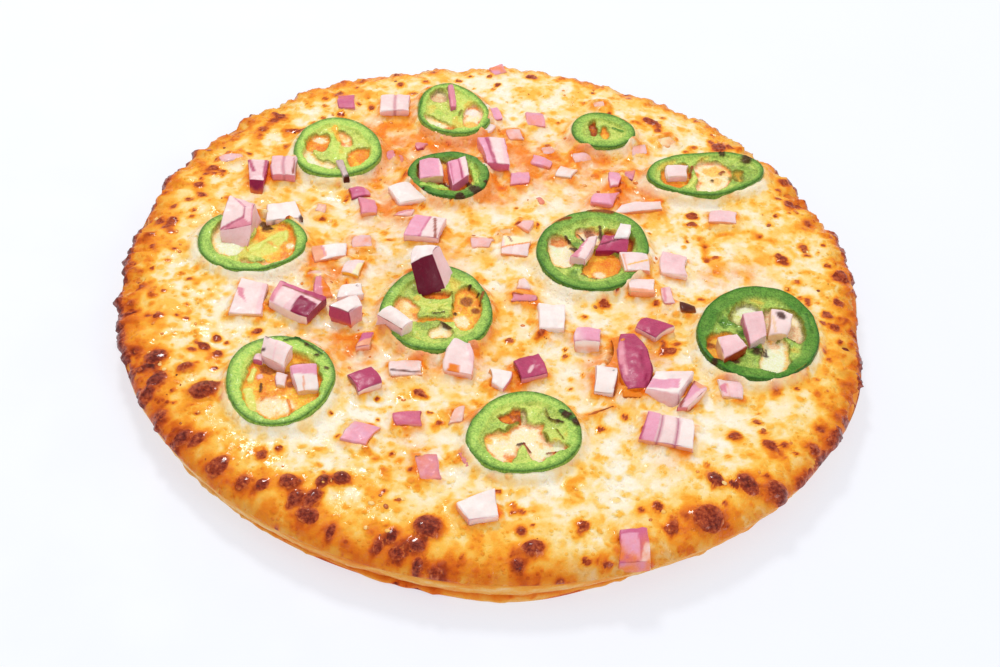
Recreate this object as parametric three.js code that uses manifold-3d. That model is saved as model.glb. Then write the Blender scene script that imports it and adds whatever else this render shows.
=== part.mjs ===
import * as THREE from "three";
import { mergeVertices } from "three/addons/utils/BufferGeometryUtils.js";
import Module from "manifold-3d";

const wasm = await Module();
wasm.setup();

// Driving sizes in millimetres
const rimRadius = 104.5;
const breadHeight = 12;
const cheeseCrown = 13.4;
const cheeseShoulder = 0.6;
const cheeseLip = 9.2;
const restGap = 0.3;
const ringTall = 3.3;
const ringWall = 3.6;
const webDrop = 0.5;
const buriedFoot = 12.8;
const angleSteps = 66;
const ringSteps = 22;
const hollowSteps = 7;

const colours = {
  crust: 0xdca14e,
  cheese: 0xf4cf93,
  pepper: 0x5f9a3c,
  white: 0xf6e9e2,
  pale: 0xf0d3d4,
  pink: 0xdfa3bd,
  purple: 0xa9608a,
  dark: 0x6b2647,
};

// Swellings and dips of the outline: where they are in degrees, how far they reach, how wide they are
const rimLobes = [
  [147, 1.4, 12], [120, 1.9, 8], [89, 2.3, 7], [55, 1.6, 14], [-3, -2, 5], [180, -1.2, 9], [-20, 0.6, 7],
];
const footLobes = [[-84, 2, 8], [-63, -1.8, 10]];

// Soft swellings of the cheese: place, reach, rise
const swellings = [
  [67, 14, 10, 1.3], [-86, 20, 9, 0.5], [40, -84, 9, 0.5], [-30, 88, 10, 0.5], [80, -38, 8, 0.5],
];

// Browned blisters of the cheese: angle in degrees, distance from the middle, half width around,
// half width outward, rise
const blisters = [
  [-143, 90, 2.8, 3.2, 1.5], [-153.7, 97, 2.2, 2.4, 1.1], [-149.2, 98.8, 2, 2.2, 1.1],
  [-142.8, 101.6, 1.8, 2, 1], [-137.2, 101, 1.7, 2.6, 1.2], [-129.4, 99.8, 2.7, 2.7, 1.5],
  [-124.6, 99.6, 2, 2, 1], [-119, 94, 2.5, 2, 1.1], [-114.5, 95.2, 1.8, 2.6, 1.2],
  [-113.5, 99.6, 2.8, 2, 1], [-112.6, 86.6, 2.1, 2, 1], [-102.6, 100.2, 1.4, 2.1, 0.9],
  [-99.8, 101, 2, 1.7, 1], [-96.5, 93.2, 3.4, 2.8, 1.3], [-94.2, 102.6, 1.8, 1.5, 0.9],
  [-81, 96.7, 2.8, 2, 1.2], [-55.4, 98.8, 3.6, 3.3, 1.8], [-49.4, 91.4, 1.9, 2.2, 1.1],
  [-45.7, 97, 2.1, 3.2, 1.3], [-42.7, 101.4, 2.5, 2.6, 1.3], [-37.9, 102.6, 2.5, 1.7, 1.1],
  [-28, 102.6, 2.4, 1.8, 1.1], [8.3, 99.6, 2.2, 2, 1], [27.2, 97, 2, 2, 0.9],
];

// Green pepper rings: middle, long and short width, turn, how three-sided the outline is and where,
// hollows between the ribs as place from the middle, length, width and turn
const pepperRings = [
  {
    at: [-18.1, 73.2], size: [26.7, 22], turn: -66, lobe: 0.06, lobeAt: -17,
    hollows: [[-5.3, 5.6, 5.4, 5.2, 30], [-4.6, -4.4, 8.6, 4.6, -35], [6.2, 0.3, 4.2, 11, 0]],
    bits: [{ at: [-18.4, 78.6], top: 18, size: [2, 8], turn: -2 }],
  },
  {
    at: [-51.1, 48.9], size: [28.8, 26.2], turn: 89, lobe: 0.03, lobeAt: -14,
    hollows: [[-5.8, 3.6, 7, 7, 40], [2.4, 7, 3, 4.6, 0], [6.2, -0.8, 6.4, 9, 10], [-4.6, -5, 9, 6.4, -20]],
    bits: [{ at: [-48.1, 36], top: 17.8, size: [2, 7], turn: 12 }],
  },
  {
    at: [-16.6, 41.3], size: [24.4, 21.9], turn: 6, lobe: 0.03, lobeAt: 61,
    hollows: [[-4.6, 1, 7, 9, 0], [5, 0.6, 7, 10, 0]],
    bits: [
      { at: [-22, 41.8], top: 18, size: [6.8, 9], turn: 18, skew: -6 },
      { at: [-14, 41.6], top: 18.2, size: [4.4, 10.8], turn: 16 },
    ],
  },
  {
    at: [28.8, 69.2], size: [19.7, 17.9], turn: 9, lobe: 0.025, lobeAt: -7,
    hollows: [[-3.2, 1.6, 2.8, 6, 0], [2, 1, 2.8, 6.4, 0]],
    bits: [],
  },
  {
    at: [60.4, 52.1], size: [36.7, 20.5], turn: 16, lobe: 0.04, lobeAt: 40,
    hollows: [[-9, -2, 7.6, 6.4, 30], [-0.6, 2.4, 7.4, 6.4, 10], [8.4, 3.2, 5.6, 6, 0], [3.6, -4, 8, 3, 20]],
    bits: [{ at: [51.6, 51.4], top: 17.6, size: [6.6, 5.6], turn: 12 }],
  },
  {
    at: [-69.5, 3.6], size: [30.9, 26.1], turn: 4, lobe: 0.03, lobeAt: 11,
    hollows: [[-7.4, -2.6, 6, 7, 0], [8.4, -1.6, 8, 5.4, 20], [2, -7.4, 10, 3.4, 0]],
    bits: [],
  },
  {
    at: [27.1, 12.6], size: [36.5, 31.1], turn: 64, lobe: -0.018, lobeAt: 0,
    hollows: [[-7.8, -1.8, 6.6, 10.6, 0], [-1.2, 8, 9, 6.6, 15], [3.4, -6, 10, 8.6, 20], [7.6, 6.4, 4, 5, 0]],
    bits: [
      { at: [24.6, 11.2], top: 18.4, size: [3.8, 9.8], turn: -10, skew: -6 },
      { at: [32.8, 14.8], top: 18, size: [8, 5.6], turn: 2 },
      { at: [35.4, 19.4], top: 18.8, size: [3.8, 6.6], turn: -8 },
    ],
  },
  {
    at: [-15.2, -17.9], size: [34.4, 30.2], turn: 87, lobe: 0.03, lobeAt: -29,
    hollows: [[-8.2, -2.8, 5.4, 11, 10], [7.8, 2.4, 7, 11.6, -10], [1.2, -9.2, 7, 4.6, 20]],
    bits: [],
  },
  {
    at: [72.9, -16.7], size: [38.1, 32.9], turn: 68, lobe: -0.017, lobeAt: 15,
    hollows: [[-6.4, 7.4, 6, 8, -20], [3, -9, 9, 7, 20], [9, 3, 5, 9, 0], [-6.6, -5, 5.6, 7.6, 10]],
    bits: [],
  },
  {
    at: [-53.1, -49.9], size: [32.5, 27.8], turn: -90, lobe: 0.03, lobeAt: 22,
    hollows: [[-5.6, 4.6, 6.4, 8, -20], [4.4, 5, 8, 7, 20], [-0.4, -6.4, 11, 8, 0]],
    bits: [],
  },
  {
    at: [11, -61.1], size: [30.4, 26.9], turn: 35, lobe: -0.03, lobeAt: 35,
    hollows: [[-6.8, -3.4, 6, 8, -30], [-4.6, 7, 5.4, 4.6, 20], [1, 1.6, 7.4, 5, 0], [6, -4.4, 7, 5, 30]],
    bits: [],
  },
];

// Cut onion pieces: middle and height of the top face, width and depth, turn, lean of the outline,
// back width against front width, number of layers side by side
const onions = [
  { look: "pale", at: [1.4, -87.1], top: 17, size: [9.2, 7.4], turn: 27, skew: -7 },
  { look: "purple", at: [39.4, -93.1], top: 15.4, size: [7.4, 9], turn: 12, skew: -7, tip: 20 },
  { look: "pink", at: [47.8, -55.6], top: 17.5, size: [12.8, 10.8], turn: -9, skew: 2, layers: 3 },
  { look: "pale", at: [47.9, -39], top: 17, size: [9.4, 9.6], turn: 0, skew: -18 },
  { look: "pink", at: [54.3, -41.9], top: 16.6, size: [3.4, 10.6], turn: -24, skew: -4 },
  { look: "purple", at: [38.6, -31.2], top: 17, size: [5.8, 20.2], turn: 5, skew: 3, arch: 0.8 },
  { look: "purple", at: [43.8, -17.2], top: 16.4, size: [7.6, 6.6], turn: -25, skew: -16 },
  { look: "white", at: [31.4, -38.6], top: 16.2, size: [5.8, 10], turn: 1, skew: -6 },
  { look: "pale", at: [26.4, -23.4], top: 17, size: [7, 6], turn: 5, skew: -8 },
  { look: "purple", at: [11.4, -36.8], top: 16.4, size: [7.6, 7.4], turn: 27, skew: -5 },
  { look: "white", at: [16.4, -16.6], top: 16.4, size: [7, 9.6], turn: 4 },
  { look: "white", at: [3.6, -41.7], top: 16.2, size: [5.2, 6.4], turn: -16, skew: 10, taper: 1.3 },
  { look: "pale", at: [-7.4, -35.6], top: 17, size: [6.4, 11], turn: -10, skew: 8 },
  { look: "dark", at: [-31.2, -46.5], top: 16.6, size: [7.2, 7], turn: 35, skew: -5 },
  { look: "purple", at: [-19, -58.4], top: 15.6, size: [7.2, 4.8], turn: 10 },
  { look: "pink", at: [-30.4, -64.8], top: 15.4, size: [7, 7.2], turn: -11, skew: -14 },
  { look: "pale", at: [-55.4, -41.8], top: 19.6, size: [8, 6.4], turn: -24, skew: 14 },
  { look: "pink", at: [-46.3, -50], top: 19, size: [6.4, 7.4], turn: 16 },
  { look: "dark", at: [-18.5, -5.2], top: 24.4, size: [7.6, 5], turn: 42, foot: 15, tip: -38 },
  { look: "pale", at: [-25.6, -26.3], top: 20.4, size: [8.8, 5], turn: -36, skew: -5 },
  { look: "pink", at: [-53.4, -20.3], top: 17.9, size: [13.2, 9], turn: -22, taper: 1.1, layers: 2 },
  { look: "white", at: [-39.2, -13.6], top: 17, size: [6.8, 5.2], turn: 18, skew: -14 },
  { look: "pink", at: [-38.8, -21.8], top: 19, size: [7.6, 5.6], turn: 34 },
  { look: "purple", at: [-33, -31.4], top: 16, size: [5.8, 3.8], turn: 76, skew: 5 },
  { look: "pale", at: [-40, -2.6], top: 15.8, size: [5.2, 6.2], turn: -3, skew: -6 },
  { look: "pink", at: [-47.2, 2.6], top: 15.9, size: [9.6, 5.8], turn: 19, skew: -8 },
  { look: "pink", at: [-21.4, 15.8], top: 17.2, size: [9.6, 9.4], turn: -1, skew: -12, layers: 2 },
  { look: "pink", at: [-66, -19.2], top: 16, size: [8.2, 13.4], turn: -5, skew: 4 },
  { look: "white", at: [-62.7, 17.6], top: 16.8, size: [9.6, 7.6], turn: 18, skew: -3 },
  { look: "pink", at: [-74, 9.8], top: 20.8, size: [8.6, 12], turn: 3, skew: -4, layers: 2 },
  { look: "purple", at: [-73.2, 34.2], top: 17.4, size: [5.4, 10.4], turn: 3, skew: 4 },
  { look: "pale", at: [-65.5, 37.4], top: 17.6, size: [7.2, 9.2], turn: 4, skew: 4, layers: 2 },
  { look: "pale", at: [-36.3, 74], top: 17.2, size: [9, 8.2], turn: 9, skew: -5, layers: 2 },
  { look: "purple", at: [-3.8, 53.5], top: 17.6, size: [7.6, 12.8], turn: 2, skew: 12 },
  { look: "white", at: [-28.6, 31.4], top: 16.4, size: [7.8, 8.8], turn: 29, skew: 6 },
  { look: "pink", at: [-38.8, 24.2], top: 16, size: [4.8, 6.6], turn: 4, skew: 9 },
  { look: "pink", at: [29.8, 36.9], top: 16.2, size: [7.2, 5.6], turn: 5, skew: -20 },
  { look: "white", at: [40.6, 34.9], top: 15.8, size: [13.4, 4.2], turn: 17, skew: -20 },
  { look: "pink", at: [65, 33.6], top: 16, size: [8.4, 5.4], turn: 2, skew: -9 },
  { look: "pale", at: [4.8, 12.2], top: 15.8, size: [8, 7.8], turn: -5, skew: 4 },
  { look: "pale", at: [50.1, 9.9], top: 16.2, size: [7.2, 8.6], turn: -9, skew: 6 },
  { look: "pale", at: [39.1, 8], top: 17.6, size: [7.6, 7.8], turn: 5, skew: 5 },
  { look: "pale", at: [41, -0.9], top: 16.6, size: [7.2, 6], turn: 2, skew: 3 },
  { look: "pink", at: [71.6, -16.5], top: 19.6, size: [6, 9.8], turn: 30, skew: -22 },
  { look: "pale", at: [78.8, -13.7], top: 19, size: [5.8, 8.2], turn: 2, skew: -12 },
  { look: "pink", at: [64.8, -24.6], top: 19.2, size: [7, 6.8], turn: 33, skew: -12 },
  { look: "pale", at: [64.6, -38], top: 15.9, size: [6, 6.6], turn: -2, skew: 5 },
];

// Smaller onion bits baked into the cheese: middle, top height, width, depth, turn
const bakedBits = [
  { at: [-21.3, -40.2], top: 15.2, size: [8.2, 5.4], turn: 8 },
  { at: [-12.4, -74], top: 15, size: [5.4, 8.6], turn: 12 },
  { at: [-6.5, -55.3], top: 15, size: [3.4, 5.6], turn: 14 },
  { at: [-47.5, -12.2], top: 15.6, size: [4, 8], turn: 6, taper: 0.4 },
  { at: [-38.6, 9.6], top: 15, size: [5.6, 5.4], turn: 6 },
  { at: [-42.4, 30.4], top: 15.8, size: [5, 4.4], turn: 22 },
  { at: [-28.2, 23.4], top: 15, size: [5.6, 2.8], turn: 8 },
  { at: [-51.6, 74.6], top: 15.6, size: [5.2, 6.6], turn: 5 },
  { at: [33.1, 47.4], top: 15.8, size: [3.8, 6.8], turn: 2, taper: 1.8 },
  { at: [-5, 13.3], top: 15, size: [5.8, 4.4], turn: 6, taper: 1.3 },
  { at: [18.1, 48.9], top: 15.2, size: [5.4, 4.8], turn: 4 },
  { at: [48.2, -3], top: 15.6, size: [3.2, 6.8], turn: 12 },
  { at: [8.5, -8.8], top: 15.2, size: [6.8, 3.2], turn: 3 },
  { at: [7.9, 74.5], top: 15, size: [5.6, 6.8], turn: 3 },
  { at: [4.5, 44.1], top: 15.4, size: [5.6, 5.2], turn: 12 },
  { at: [10.8, 53.2], top: 15.2, size: [6.2, 4], turn: -14 },
  { at: [22.8, 57.4], top: 15, size: [5.6, 5], turn: 21 },
  { at: [40.3, 63.6], top: 15, size: [5.4, 5.6], turn: 8 },
  { at: [1.7, 66.1], top: 15, size: [4.4, 5.2], turn: 18 },
  { at: [-4.8, 74.6], top: 15.8, size: [3.2, 6.2], turn: 25 },
  { at: [-7.2, 67.2], top: 15.8, size: [4.2, 6], turn: -28 },
  { at: [7.4, 23], top: 15, size: [3.4, 4.8], turn: -16 },
  { at: [-26.6, 55.8], top: 15.2, size: [3, 3.2], turn: 4, taper: 1.8 },
  { at: [-34.9, 50], top: 15, size: [3.8, 4.4], turn: 20, taper: 1.8 },
  { at: [-82, 42.4], top: 15, size: [6.8, 3.6], turn: 26 },
  { at: [-5.4, 100.4], top: 14.4, size: [5, 4.6], turn: 30 },
  { at: [53.9, -7.6], top: 15.6, size: [4.4, 3], turn: 2 },
  { at: [37.2, 50.6], top: 15, size: [3.2, 4], turn: -10 },
];

function rimAt(angle) {
  return rimLobes.reduce((reach, [at, by, wide]) => reach + by * bell(apart(angle, at) / wide), rimRadius);
}

function footAt(angle) {
  return footLobes.reduce((reach, [at, by, wide]) => reach + by * bell(apart(angle, at) / wide), 0);
}

function bell(x) {
  return Math.exp(-0.5 * x * x);
}

function apart(a, b) {
  return ((((a - b + 180) % 360) + 360) % 360) - 180;
}

// Height of the cheese, which rises a little toward the rim and rolls down over it
function cheeseHeight(x, y) {
  const angle = THREE.MathUtils.radToDeg(Math.atan2(y, x));
  const reach = Math.hypot(x, y) / rimAt(angle);
  const shoulder = THREE.MathUtils.clamp((reach - 0.45) / 0.4, 0, 1);
  const roll = THREE.MathUtils.clamp((reach - 0.86) / 0.14, 0, 1);
  const crown = cheeseCrown + cheeseShoulder * shoulder * shoulder;
  const drop = (crown - cheeseLip) * (1 - Math.sqrt(1 - roll * roll));
  const swell = swellings.reduce((sum, [sx, sy, wide, rise]) => {
    return sum + rise * bell(Math.hypot(x - sx, y - sy) / (wide / 2));
  }, 0);
  const ripple = 0.14 * Math.sin(x * 0.31 + y * 0.12) + 0.12 * Math.sin(y * 0.37 - x * 0.16);
  return crown - drop + swell * (1 - roll) + ripple * (1 - roll);
}

// Closed solid from a profile carried round the outline, running from the lower middle to the upper middle
function roundSolid(profile) {
  const inner = profile.length - 2;
  const points = [];
  const faces = [];
  points.push(profile[0](0));
  for (let step = 0; step < angleSteps; step++) {
    const angle = (360 * step) / angleSteps;
    for (let row = 1; row <= inner; row++) {
      points.push(profile[row](angle));
    }
  }
  points.push(profile[inner + 1](0));
  const at = (step, row) => 1 + (step % angleSteps) * inner + row;
  const last = points.length - 1;
  for (let step = 0; step < angleSteps; step++) {
    faces.push([0, at(step + 1, 0), at(step, 0)]);
    faces.push([last, at(step, inner - 1), at(step + 1, inner - 1)]);
    for (let row = 0; row < inner - 1; row++) {
      faces.push([at(step, row), at(step + 1, row), at(step + 1, row + 1)]);
      faces.push([at(step, row), at(step + 1, row + 1), at(step, row + 1)]);
    }
  }
  return meshData(points, faces);
}

function meshData(points, faces) {
  const geometry = new THREE.BufferGeometry();
  geometry.setAttribute("position", new THREE.Float32BufferAttribute(points.flat(), 3));
  geometry.setIndex(faces.flat());
  return geometry;
}

function polar(angle, radius, z) {
  const turn = THREE.MathUtils.degToRad(angle);
  return [radius * Math.cos(turn), radius * Math.sin(turn), z];
}

function toSolid(geometry) {
  const bare = geometry.clone();
  bare.deleteAttribute("normal");
  bare.deleteAttribute("uv");
  const merged = mergeVertices(bare, 1e-4);
  const vertProperties = new Float32Array(merged.attributes.position.array);
  const triVerts = new Uint32Array(merged.index.array);
  return new wasm.Manifold(new wasm.Mesh({ numProp: 3, vertProperties, triVerts }));
}

function toGeometry(solid) {
  const mesh = solid.getMesh();
  const geometry = new THREE.BufferGeometry();
  geometry.setAttribute("position", new THREE.Float32BufferAttribute(mesh.vertProperties, 3));
  geometry.setIndex(Array.from(mesh.triVerts));
  return geometry;
}

// The bread: flat below, a small foot, a groove above it, a bulging side and a flat top under the cheese
function breadGeometry(grow) {
  const rows = [
    [-3.5, 0, 1], [-3, 0.8, 1], [-3.2, 1.7, 1], [-4, 2.2, 1], [-3, 3, 0.8], [-1.7, 4.8, 0.5],
    [-1, 6.8, 0.2], [-1.1, 8.2, 0], [-2, 9.6, 0], [-4.2, 11.2, 0], [-8, breadHeight, 0],
  ];
  const profile = rows.map(([inset, z, foot]) => (angle) => {
    return polar(angle, rimAt(angle) + inset + foot * footAt(angle) + grow, z === 0 ? 0 : z + grow);
  });
  return roundSolid([() => [0, 0, 0], ...profile, () => [0, 0, breadHeight + grow]]);
}

// The cheese: its upper side follows cheeseHeight, its lower side stays clear of the bread
function cheeseGeometry() {
  const floor = breadHeight + restGap;
  const under = [[-60, floor], [-8, floor], [-4, 11.6], [-1.6, 9.9], [-0.6, 8.2]];
  const reaches = [0.985, 0.965, 0.935, 0.89, 0.82, 0.72, 0.6, 0.47, 0.33, 0.17];
  const profile = under.map(([inset, z]) => (angle) => polar(angle, rimAt(angle) + inset, z));
  profile.push((angle) => polar(angle, rimAt(angle), cheeseLip - 0.6));
  reaches.forEach((reach) => {
    profile.push((angle) => {
      const [x, y] = polar(angle, rimAt(angle) * reach, 0);
      return [x, y, cheeseHeight(x, y)];
    });
  });
  return roundSolid([() => [0, 0, floor], ...profile, () => [0, 0, cheeseHeight(0, 0)]]);
}

function blisterSolid([angle, radius, around, outward, rise]) {
  const dome = new THREE.SphereGeometry(1, 7, 5);
  dome.rotateX(Math.PI / 2);
  dome.scale(outward, around, rise * 2);
  dome.rotateZ(THREE.MathUtils.degToRad(angle));
  const [x, y] = polar(angle, radius, 0);
  dome.translate(x, y, cheeseHeight(x, y) - rise * 0.9);
  return toSolid(dome);
}

// Straight-sided block under an outline, between two heights
function prism(outline, low, high) {
  const shape = new THREE.Shape(outline.map(([x, y]) => new THREE.Vector2(x, y)));
  const geometry = new THREE.ExtrudeGeometry(shape, { depth: high - low, bevelEnabled: false });
  geometry.translate(0, 0, low);
  return toSolid(geometry);
}

function ringOutline(ring, grow) {
  const [long, short] = ring.size;
  return Array.from({ length: ringSteps }, (_, step) => {
    const angle = (2 * Math.PI * step) / ringSteps;
    const across = angle - THREE.MathUtils.degToRad(ring.turn);
    const oval = 1 / Math.hypot(Math.cos(across) / (long / 2), Math.sin(across) / (short / 2));
    const threeSided = Math.cos(3 * (angle - THREE.MathUtils.degToRad(ring.lobeAt)));
    const lobed = oval * (1 + ring.lobe * threeSided) + grow;
    return [ring.at[0] + lobed * Math.cos(angle), ring.at[1] + lobed * Math.sin(angle)];
  });
}

function hollowOutline(ring, [dx, dy, long, short, turn], grow) {
  const lean = THREE.MathUtils.degToRad(turn);
  return Array.from({ length: hollowSteps }, (_, step) => {
    const angle = (2 * Math.PI * step) / hollowSteps;
    const along = (long / 2 + grow) * Math.cos(angle);
    const across = (short / 2 + grow) * Math.sin(angle);
    return [
      ring.at[0] + dx + along * Math.cos(lean) - across * Math.sin(lean),
      ring.at[1] + dy + along * Math.sin(lean) + across * Math.cos(lean),
    ];
  });
}

// A slice across a pepper: skin and flesh outside, lower ribs inside, open hollows between them
function ringSolid(ring, grow) {
  const top = cheeseHeight(...ring.at) + ringTall + grow;
  let solid = prism(ringOutline(ring, grow), buriedFoot, top);
  if (grow === 0) {
    solid = solid.subtract(prism(ringOutline(ring, -ringWall), top - webDrop, top + 5));
  }
  ring.hollows.forEach((hollow) => {
    solid = solid.subtract(prism(hollowOutline(ring, hollow, -grow), 5, top + 5));
  });
  return ring.bits.reduce((sum, bit) => sum.add(onionSolid({ ...bit, arch: 0 }, grow)), solid);
}

// A cut piece of onion: layers side by side with a step between them, arched from back to front
function onionSolid(piece, grow) {
  const { at, top, turn, skew = 0, taper = 1, layers = 1, arch = 0.4, tip = 0, foot = buriedFoot } = piece;
  const wide = piece.size[0] + 2 * grow;
  const deep = piece.size[1] + 2 * grow;
  const lean = THREE.MathUtils.degToRad(skew);
  const columns = [];
  for (let layer = 0; layer < layers; layer++) {
    const drop = layer % 2 === 0 ? 0 : 0.5;
    columns.push([layer / layers + (layer ? 0.02 : 0), drop]);
    columns.push([(layer + 1) / layers - (layer < layers - 1 ? 0.02 : 0), drop]);
  }
  const rows = arch === 0 ? [-0.5, 0.5] : [-0.5, 0, 0.5];
  const middle = tip === 0 ? 0 : (top - foot) / 2;
  const points = [];
  [true, false].forEach((upper) => {
    rows.forEach((v) => {
      const spread = 2 * (taper * (0.5 - v) + (0.5 + v)) / (1 + taper);
      columns.forEach(([u, drop]) => {
        const x = (u - 0.5) * wide * spread + v * deep * Math.sin(lean);
        const y = -v * deep * Math.cos(lean);
        const sag = arch * 4 * v * v;
        points.push([x, y, (upper ? top + grow - drop - sag : foot) - (tip === 0 ? 0 : top - middle)]);
      });
    });
  });
  const across = columns.length;
  const id = (side, row, column) => side * rows.length * across + row * across + column;
  const faces = [];
  const quad = (a, b, c, d) => faces.push([a, b, c], [a, c, d]);
  for (let row = 0; row < rows.length - 1; row++) {
    for (let column = 0; column < across - 1; column++) {
      quad(id(0, row, column), id(0, row + 1, column), id(0, row + 1, column + 1), id(0, row, column + 1));
      quad(id(1, row, column), id(1, row, column + 1), id(1, row + 1, column + 1), id(1, row + 1, column));
    }
    quad(id(0, row + 1, 0), id(0, row, 0), id(1, row, 0), id(1, row + 1, 0));
    const right = across - 1;
    quad(id(0, row, right), id(0, row + 1, right), id(1, row + 1, right), id(1, row, right));
  }
  for (let column = 0; column < across - 1; column++) {
    quad(id(0, 0, column), id(0, 0, column + 1), id(1, 0, column + 1), id(1, 0, column));
    const end = rows.length - 1;
    quad(id(0, end, column + 1), id(0, end, column), id(1, end, column), id(1, end, column + 1));
  }
  const geometry = meshData(points, faces);
  geometry.rotateX(THREE.MathUtils.degToRad(tip));
  geometry.rotateZ(THREE.MathUtils.degToRad(turn));
  geometry.translate(at[0], at[1], tip === 0 ? 0 : top - middle);
  return toSolid(geometry);
}

// The largest body left after a cut
function mainBody(solid) {
  return solid.decompose().reduce((best, body) => (body.volume() > best.volume() ? body : best));
}

function nearby(a, b) {
  const boxA = a.boundingBox();
  const boxB = b.boundingBox();
  return [0, 1, 2].every((axis) => boxA.min[axis] < boxB.max[axis] && boxB.min[axis] < boxA.max[axis]);
}

function clearOf(solid, envelopes) {
  const touching = envelopes.filter((other) => nearby(solid, other));
  return touching.reduce((left, other) => left.subtract(other), solid);
}

const group = new THREE.Group();
group.name = "garlic_bread";

function numbered(name, index) {
  return `${name}_${String(index + 1).padStart(2, "0")}`;
}

function addPart(name, solid, colour, roughness) {
  const material = new THREE.MeshStandardMaterial({ color: colour, roughness, metalness: 0 });
  const mesh = new THREE.Mesh(toGeometry(solid), material);
  mesh.name = name;
  group.add(mesh);
}

const breadSolid = toSolid(breadGeometry(0));
const cheeseBase = toSolid(cheeseGeometry());
const cheeseEnvelope = cheeseBase.translate([0, 0, restGap]);
const ringEnvelopes = pepperRings.map((ring) => ringSolid(ring, restGap));
const onionEnvelopes = onions.map((piece) => onionSolid(piece, restGap));

// Blisters and baked-in bits join the cheese and stay clear of what lies on it and of the bread
const toppingEnvelopes = [...ringEnvelopes, ...onionEnvelopes, toSolid(breadGeometry(restGap))];
const bakedSolids = bakedBits.map((bit) => onionSolid({ ...bit, arch: 0 }, 0));
const cheeseExtras = [...blisters.map(blisterSolid), ...bakedSolids];
const cheeseSolid = cheeseExtras.reduce((sum, extra) => {
  return sum.add(clearOf(extra, toppingEnvelopes));
}, cheeseBase);

addPart("bread_base", breadSolid, colours.crust, 0.75);
addPart("melted_cheese", mainBody(cheeseSolid), colours.cheese, 0.5);

pepperRings.forEach((ring, index) => {
  const free = ringSolid(ring, 0).subtract(cheeseEnvelope);
  addPart(numbered("pepper_ring", index), mainBody(free), colours.pepper, 0.45);
});

onions.forEach((piece, index) => {
  const earlier = onionEnvelopes.slice(0, index);
  const free = clearOf(onionSolid(piece, 0), [cheeseEnvelope, ...ringEnvelopes, ...earlier]);
  addPart(numbered("onion", index), mainBody(free), colours[piece.look], 0.4);
});

export default group;
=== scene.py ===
import math
import bpy
import numpy as np
from mathutils import Matrix, Vector


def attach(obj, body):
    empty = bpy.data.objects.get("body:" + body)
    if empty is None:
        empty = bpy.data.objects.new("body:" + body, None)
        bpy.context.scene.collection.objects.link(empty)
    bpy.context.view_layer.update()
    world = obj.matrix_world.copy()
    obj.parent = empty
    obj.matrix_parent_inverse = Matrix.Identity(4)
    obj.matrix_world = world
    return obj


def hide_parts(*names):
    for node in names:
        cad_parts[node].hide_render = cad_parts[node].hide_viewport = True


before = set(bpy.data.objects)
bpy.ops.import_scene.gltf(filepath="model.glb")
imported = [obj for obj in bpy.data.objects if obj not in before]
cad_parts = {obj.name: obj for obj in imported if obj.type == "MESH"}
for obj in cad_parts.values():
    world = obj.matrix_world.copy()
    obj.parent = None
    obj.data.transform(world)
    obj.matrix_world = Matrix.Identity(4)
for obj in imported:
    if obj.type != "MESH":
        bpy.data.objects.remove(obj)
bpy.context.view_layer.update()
mm = 0.001
print("frame loaded")


def linked(name, data):
    thing = bpy.data.objects.new(name, data)
    bpy.context.scene.collection.objects.link(thing)
    return thing


# camera: what it looks at in millimetres, from how far and how high, and how far the picture leans
cameraView = {"lens": 60, "sensor": 36, "elevation": 43.572, "roll": 4.9975, "distance": 454.4,
              "target": (2.61, -21.041, 12)}


def placeCamera(view):
    tilt, roll = math.radians(view["elevation"]), math.radians(view["roll"])
    up = Vector((0, math.sin(tilt), math.cos(tilt)))
    back = Vector((0, -math.cos(tilt), math.sin(tilt)))
    right = Vector((math.cos(roll), 0, 0)) + up * math.sin(roll)
    leaning = up * math.cos(roll) - Vector((math.sin(roll), 0, 0))
    data = bpy.data.cameras.new("camera")
    data.lens = view["lens"]
    data.sensor_width = view["sensor"]
    data.clip_start = 0.01
    camera = linked("camera", data)
    camera.matrix_world = Matrix((right, leaning, back)).transposed().to_4x4()
    camera.location = (Vector(view["target"]) + back * view["distance"]) * mm
    bpy.context.scene.camera = camera


placeCamera(cameraView)


def shade(r, g, b):  # a colour as seen on screen, 0 to 255, turned into the linear values that nodes take
    return tuple(((c / 255 + 0.055) / 1.055) ** 2.4 for c in (r, g, b))


# tones of the food, named for what they are seen on
tones = {
    "white": (250, 234, 230), "pale": (246, 218, 216), "blush": (243, 200, 204), "pink": (236, 165, 190),
    "rose": (226, 142, 160), "mauve": (208, 106, 142), "purple": (184, 70, 108), "magenta": (146, 28, 72),
    "plum": (106, 10, 42), "coral": (240, 166, 130), "tan": (238, 196, 150), "grey": (206, 180, 176),
    "cream": (255, 238, 196), "gold": (252, 190, 66), "orange": (240, 132, 30), "brown": (150, 54, 18),
    "burnt": (80, 32, 22), "lime": (188, 222, 102), "leaf": (66, 126, 36), "skin": (36, 88, 26),
    "olive": (132, 124, 30), "yellow": (226, 230, 118), "film": (240, 242, 206),
}
tones = {name: np.array(shade(*value)) for name, value in tones.items()}
charred = tones["burnt"] * 0.7


# soft random fields and masks


def lattice(cells, seed):  # one even random value from -1 to 1 for each cell, by mixing its bits
    x, y, z = np.moveaxis(cells, -1, 0)
    h = (x * 73856093) ^ (y * 19349663) ^ (z * 83492791) ^ (seed * 265443576)
    h = ((h ^ (h >> 15)) * 2246822519) & 0xFFFFFFFF
    h = ((h ^ (h >> 13)) * 3266489917) & 0xFFFFFFFF
    return ((h ^ (h >> 16)) & 0xFFFF) / 32767.5 - 1


def grain(points, size, seed):  # from -1 to 1, with lumps of the given size in millimetres
    p = points / size
    cell = np.floor(p).astype(np.int64)
    f = p - cell
    f = f * f * (3 - 2 * f)
    total = np.zeros(len(p))
    for corner in np.ndindex(2, 2, 2):
        weight = np.prod(np.where(corner, f, 1 - f), axis=1)
        total += weight * lattice(cell + corner, seed)
    return total


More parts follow.
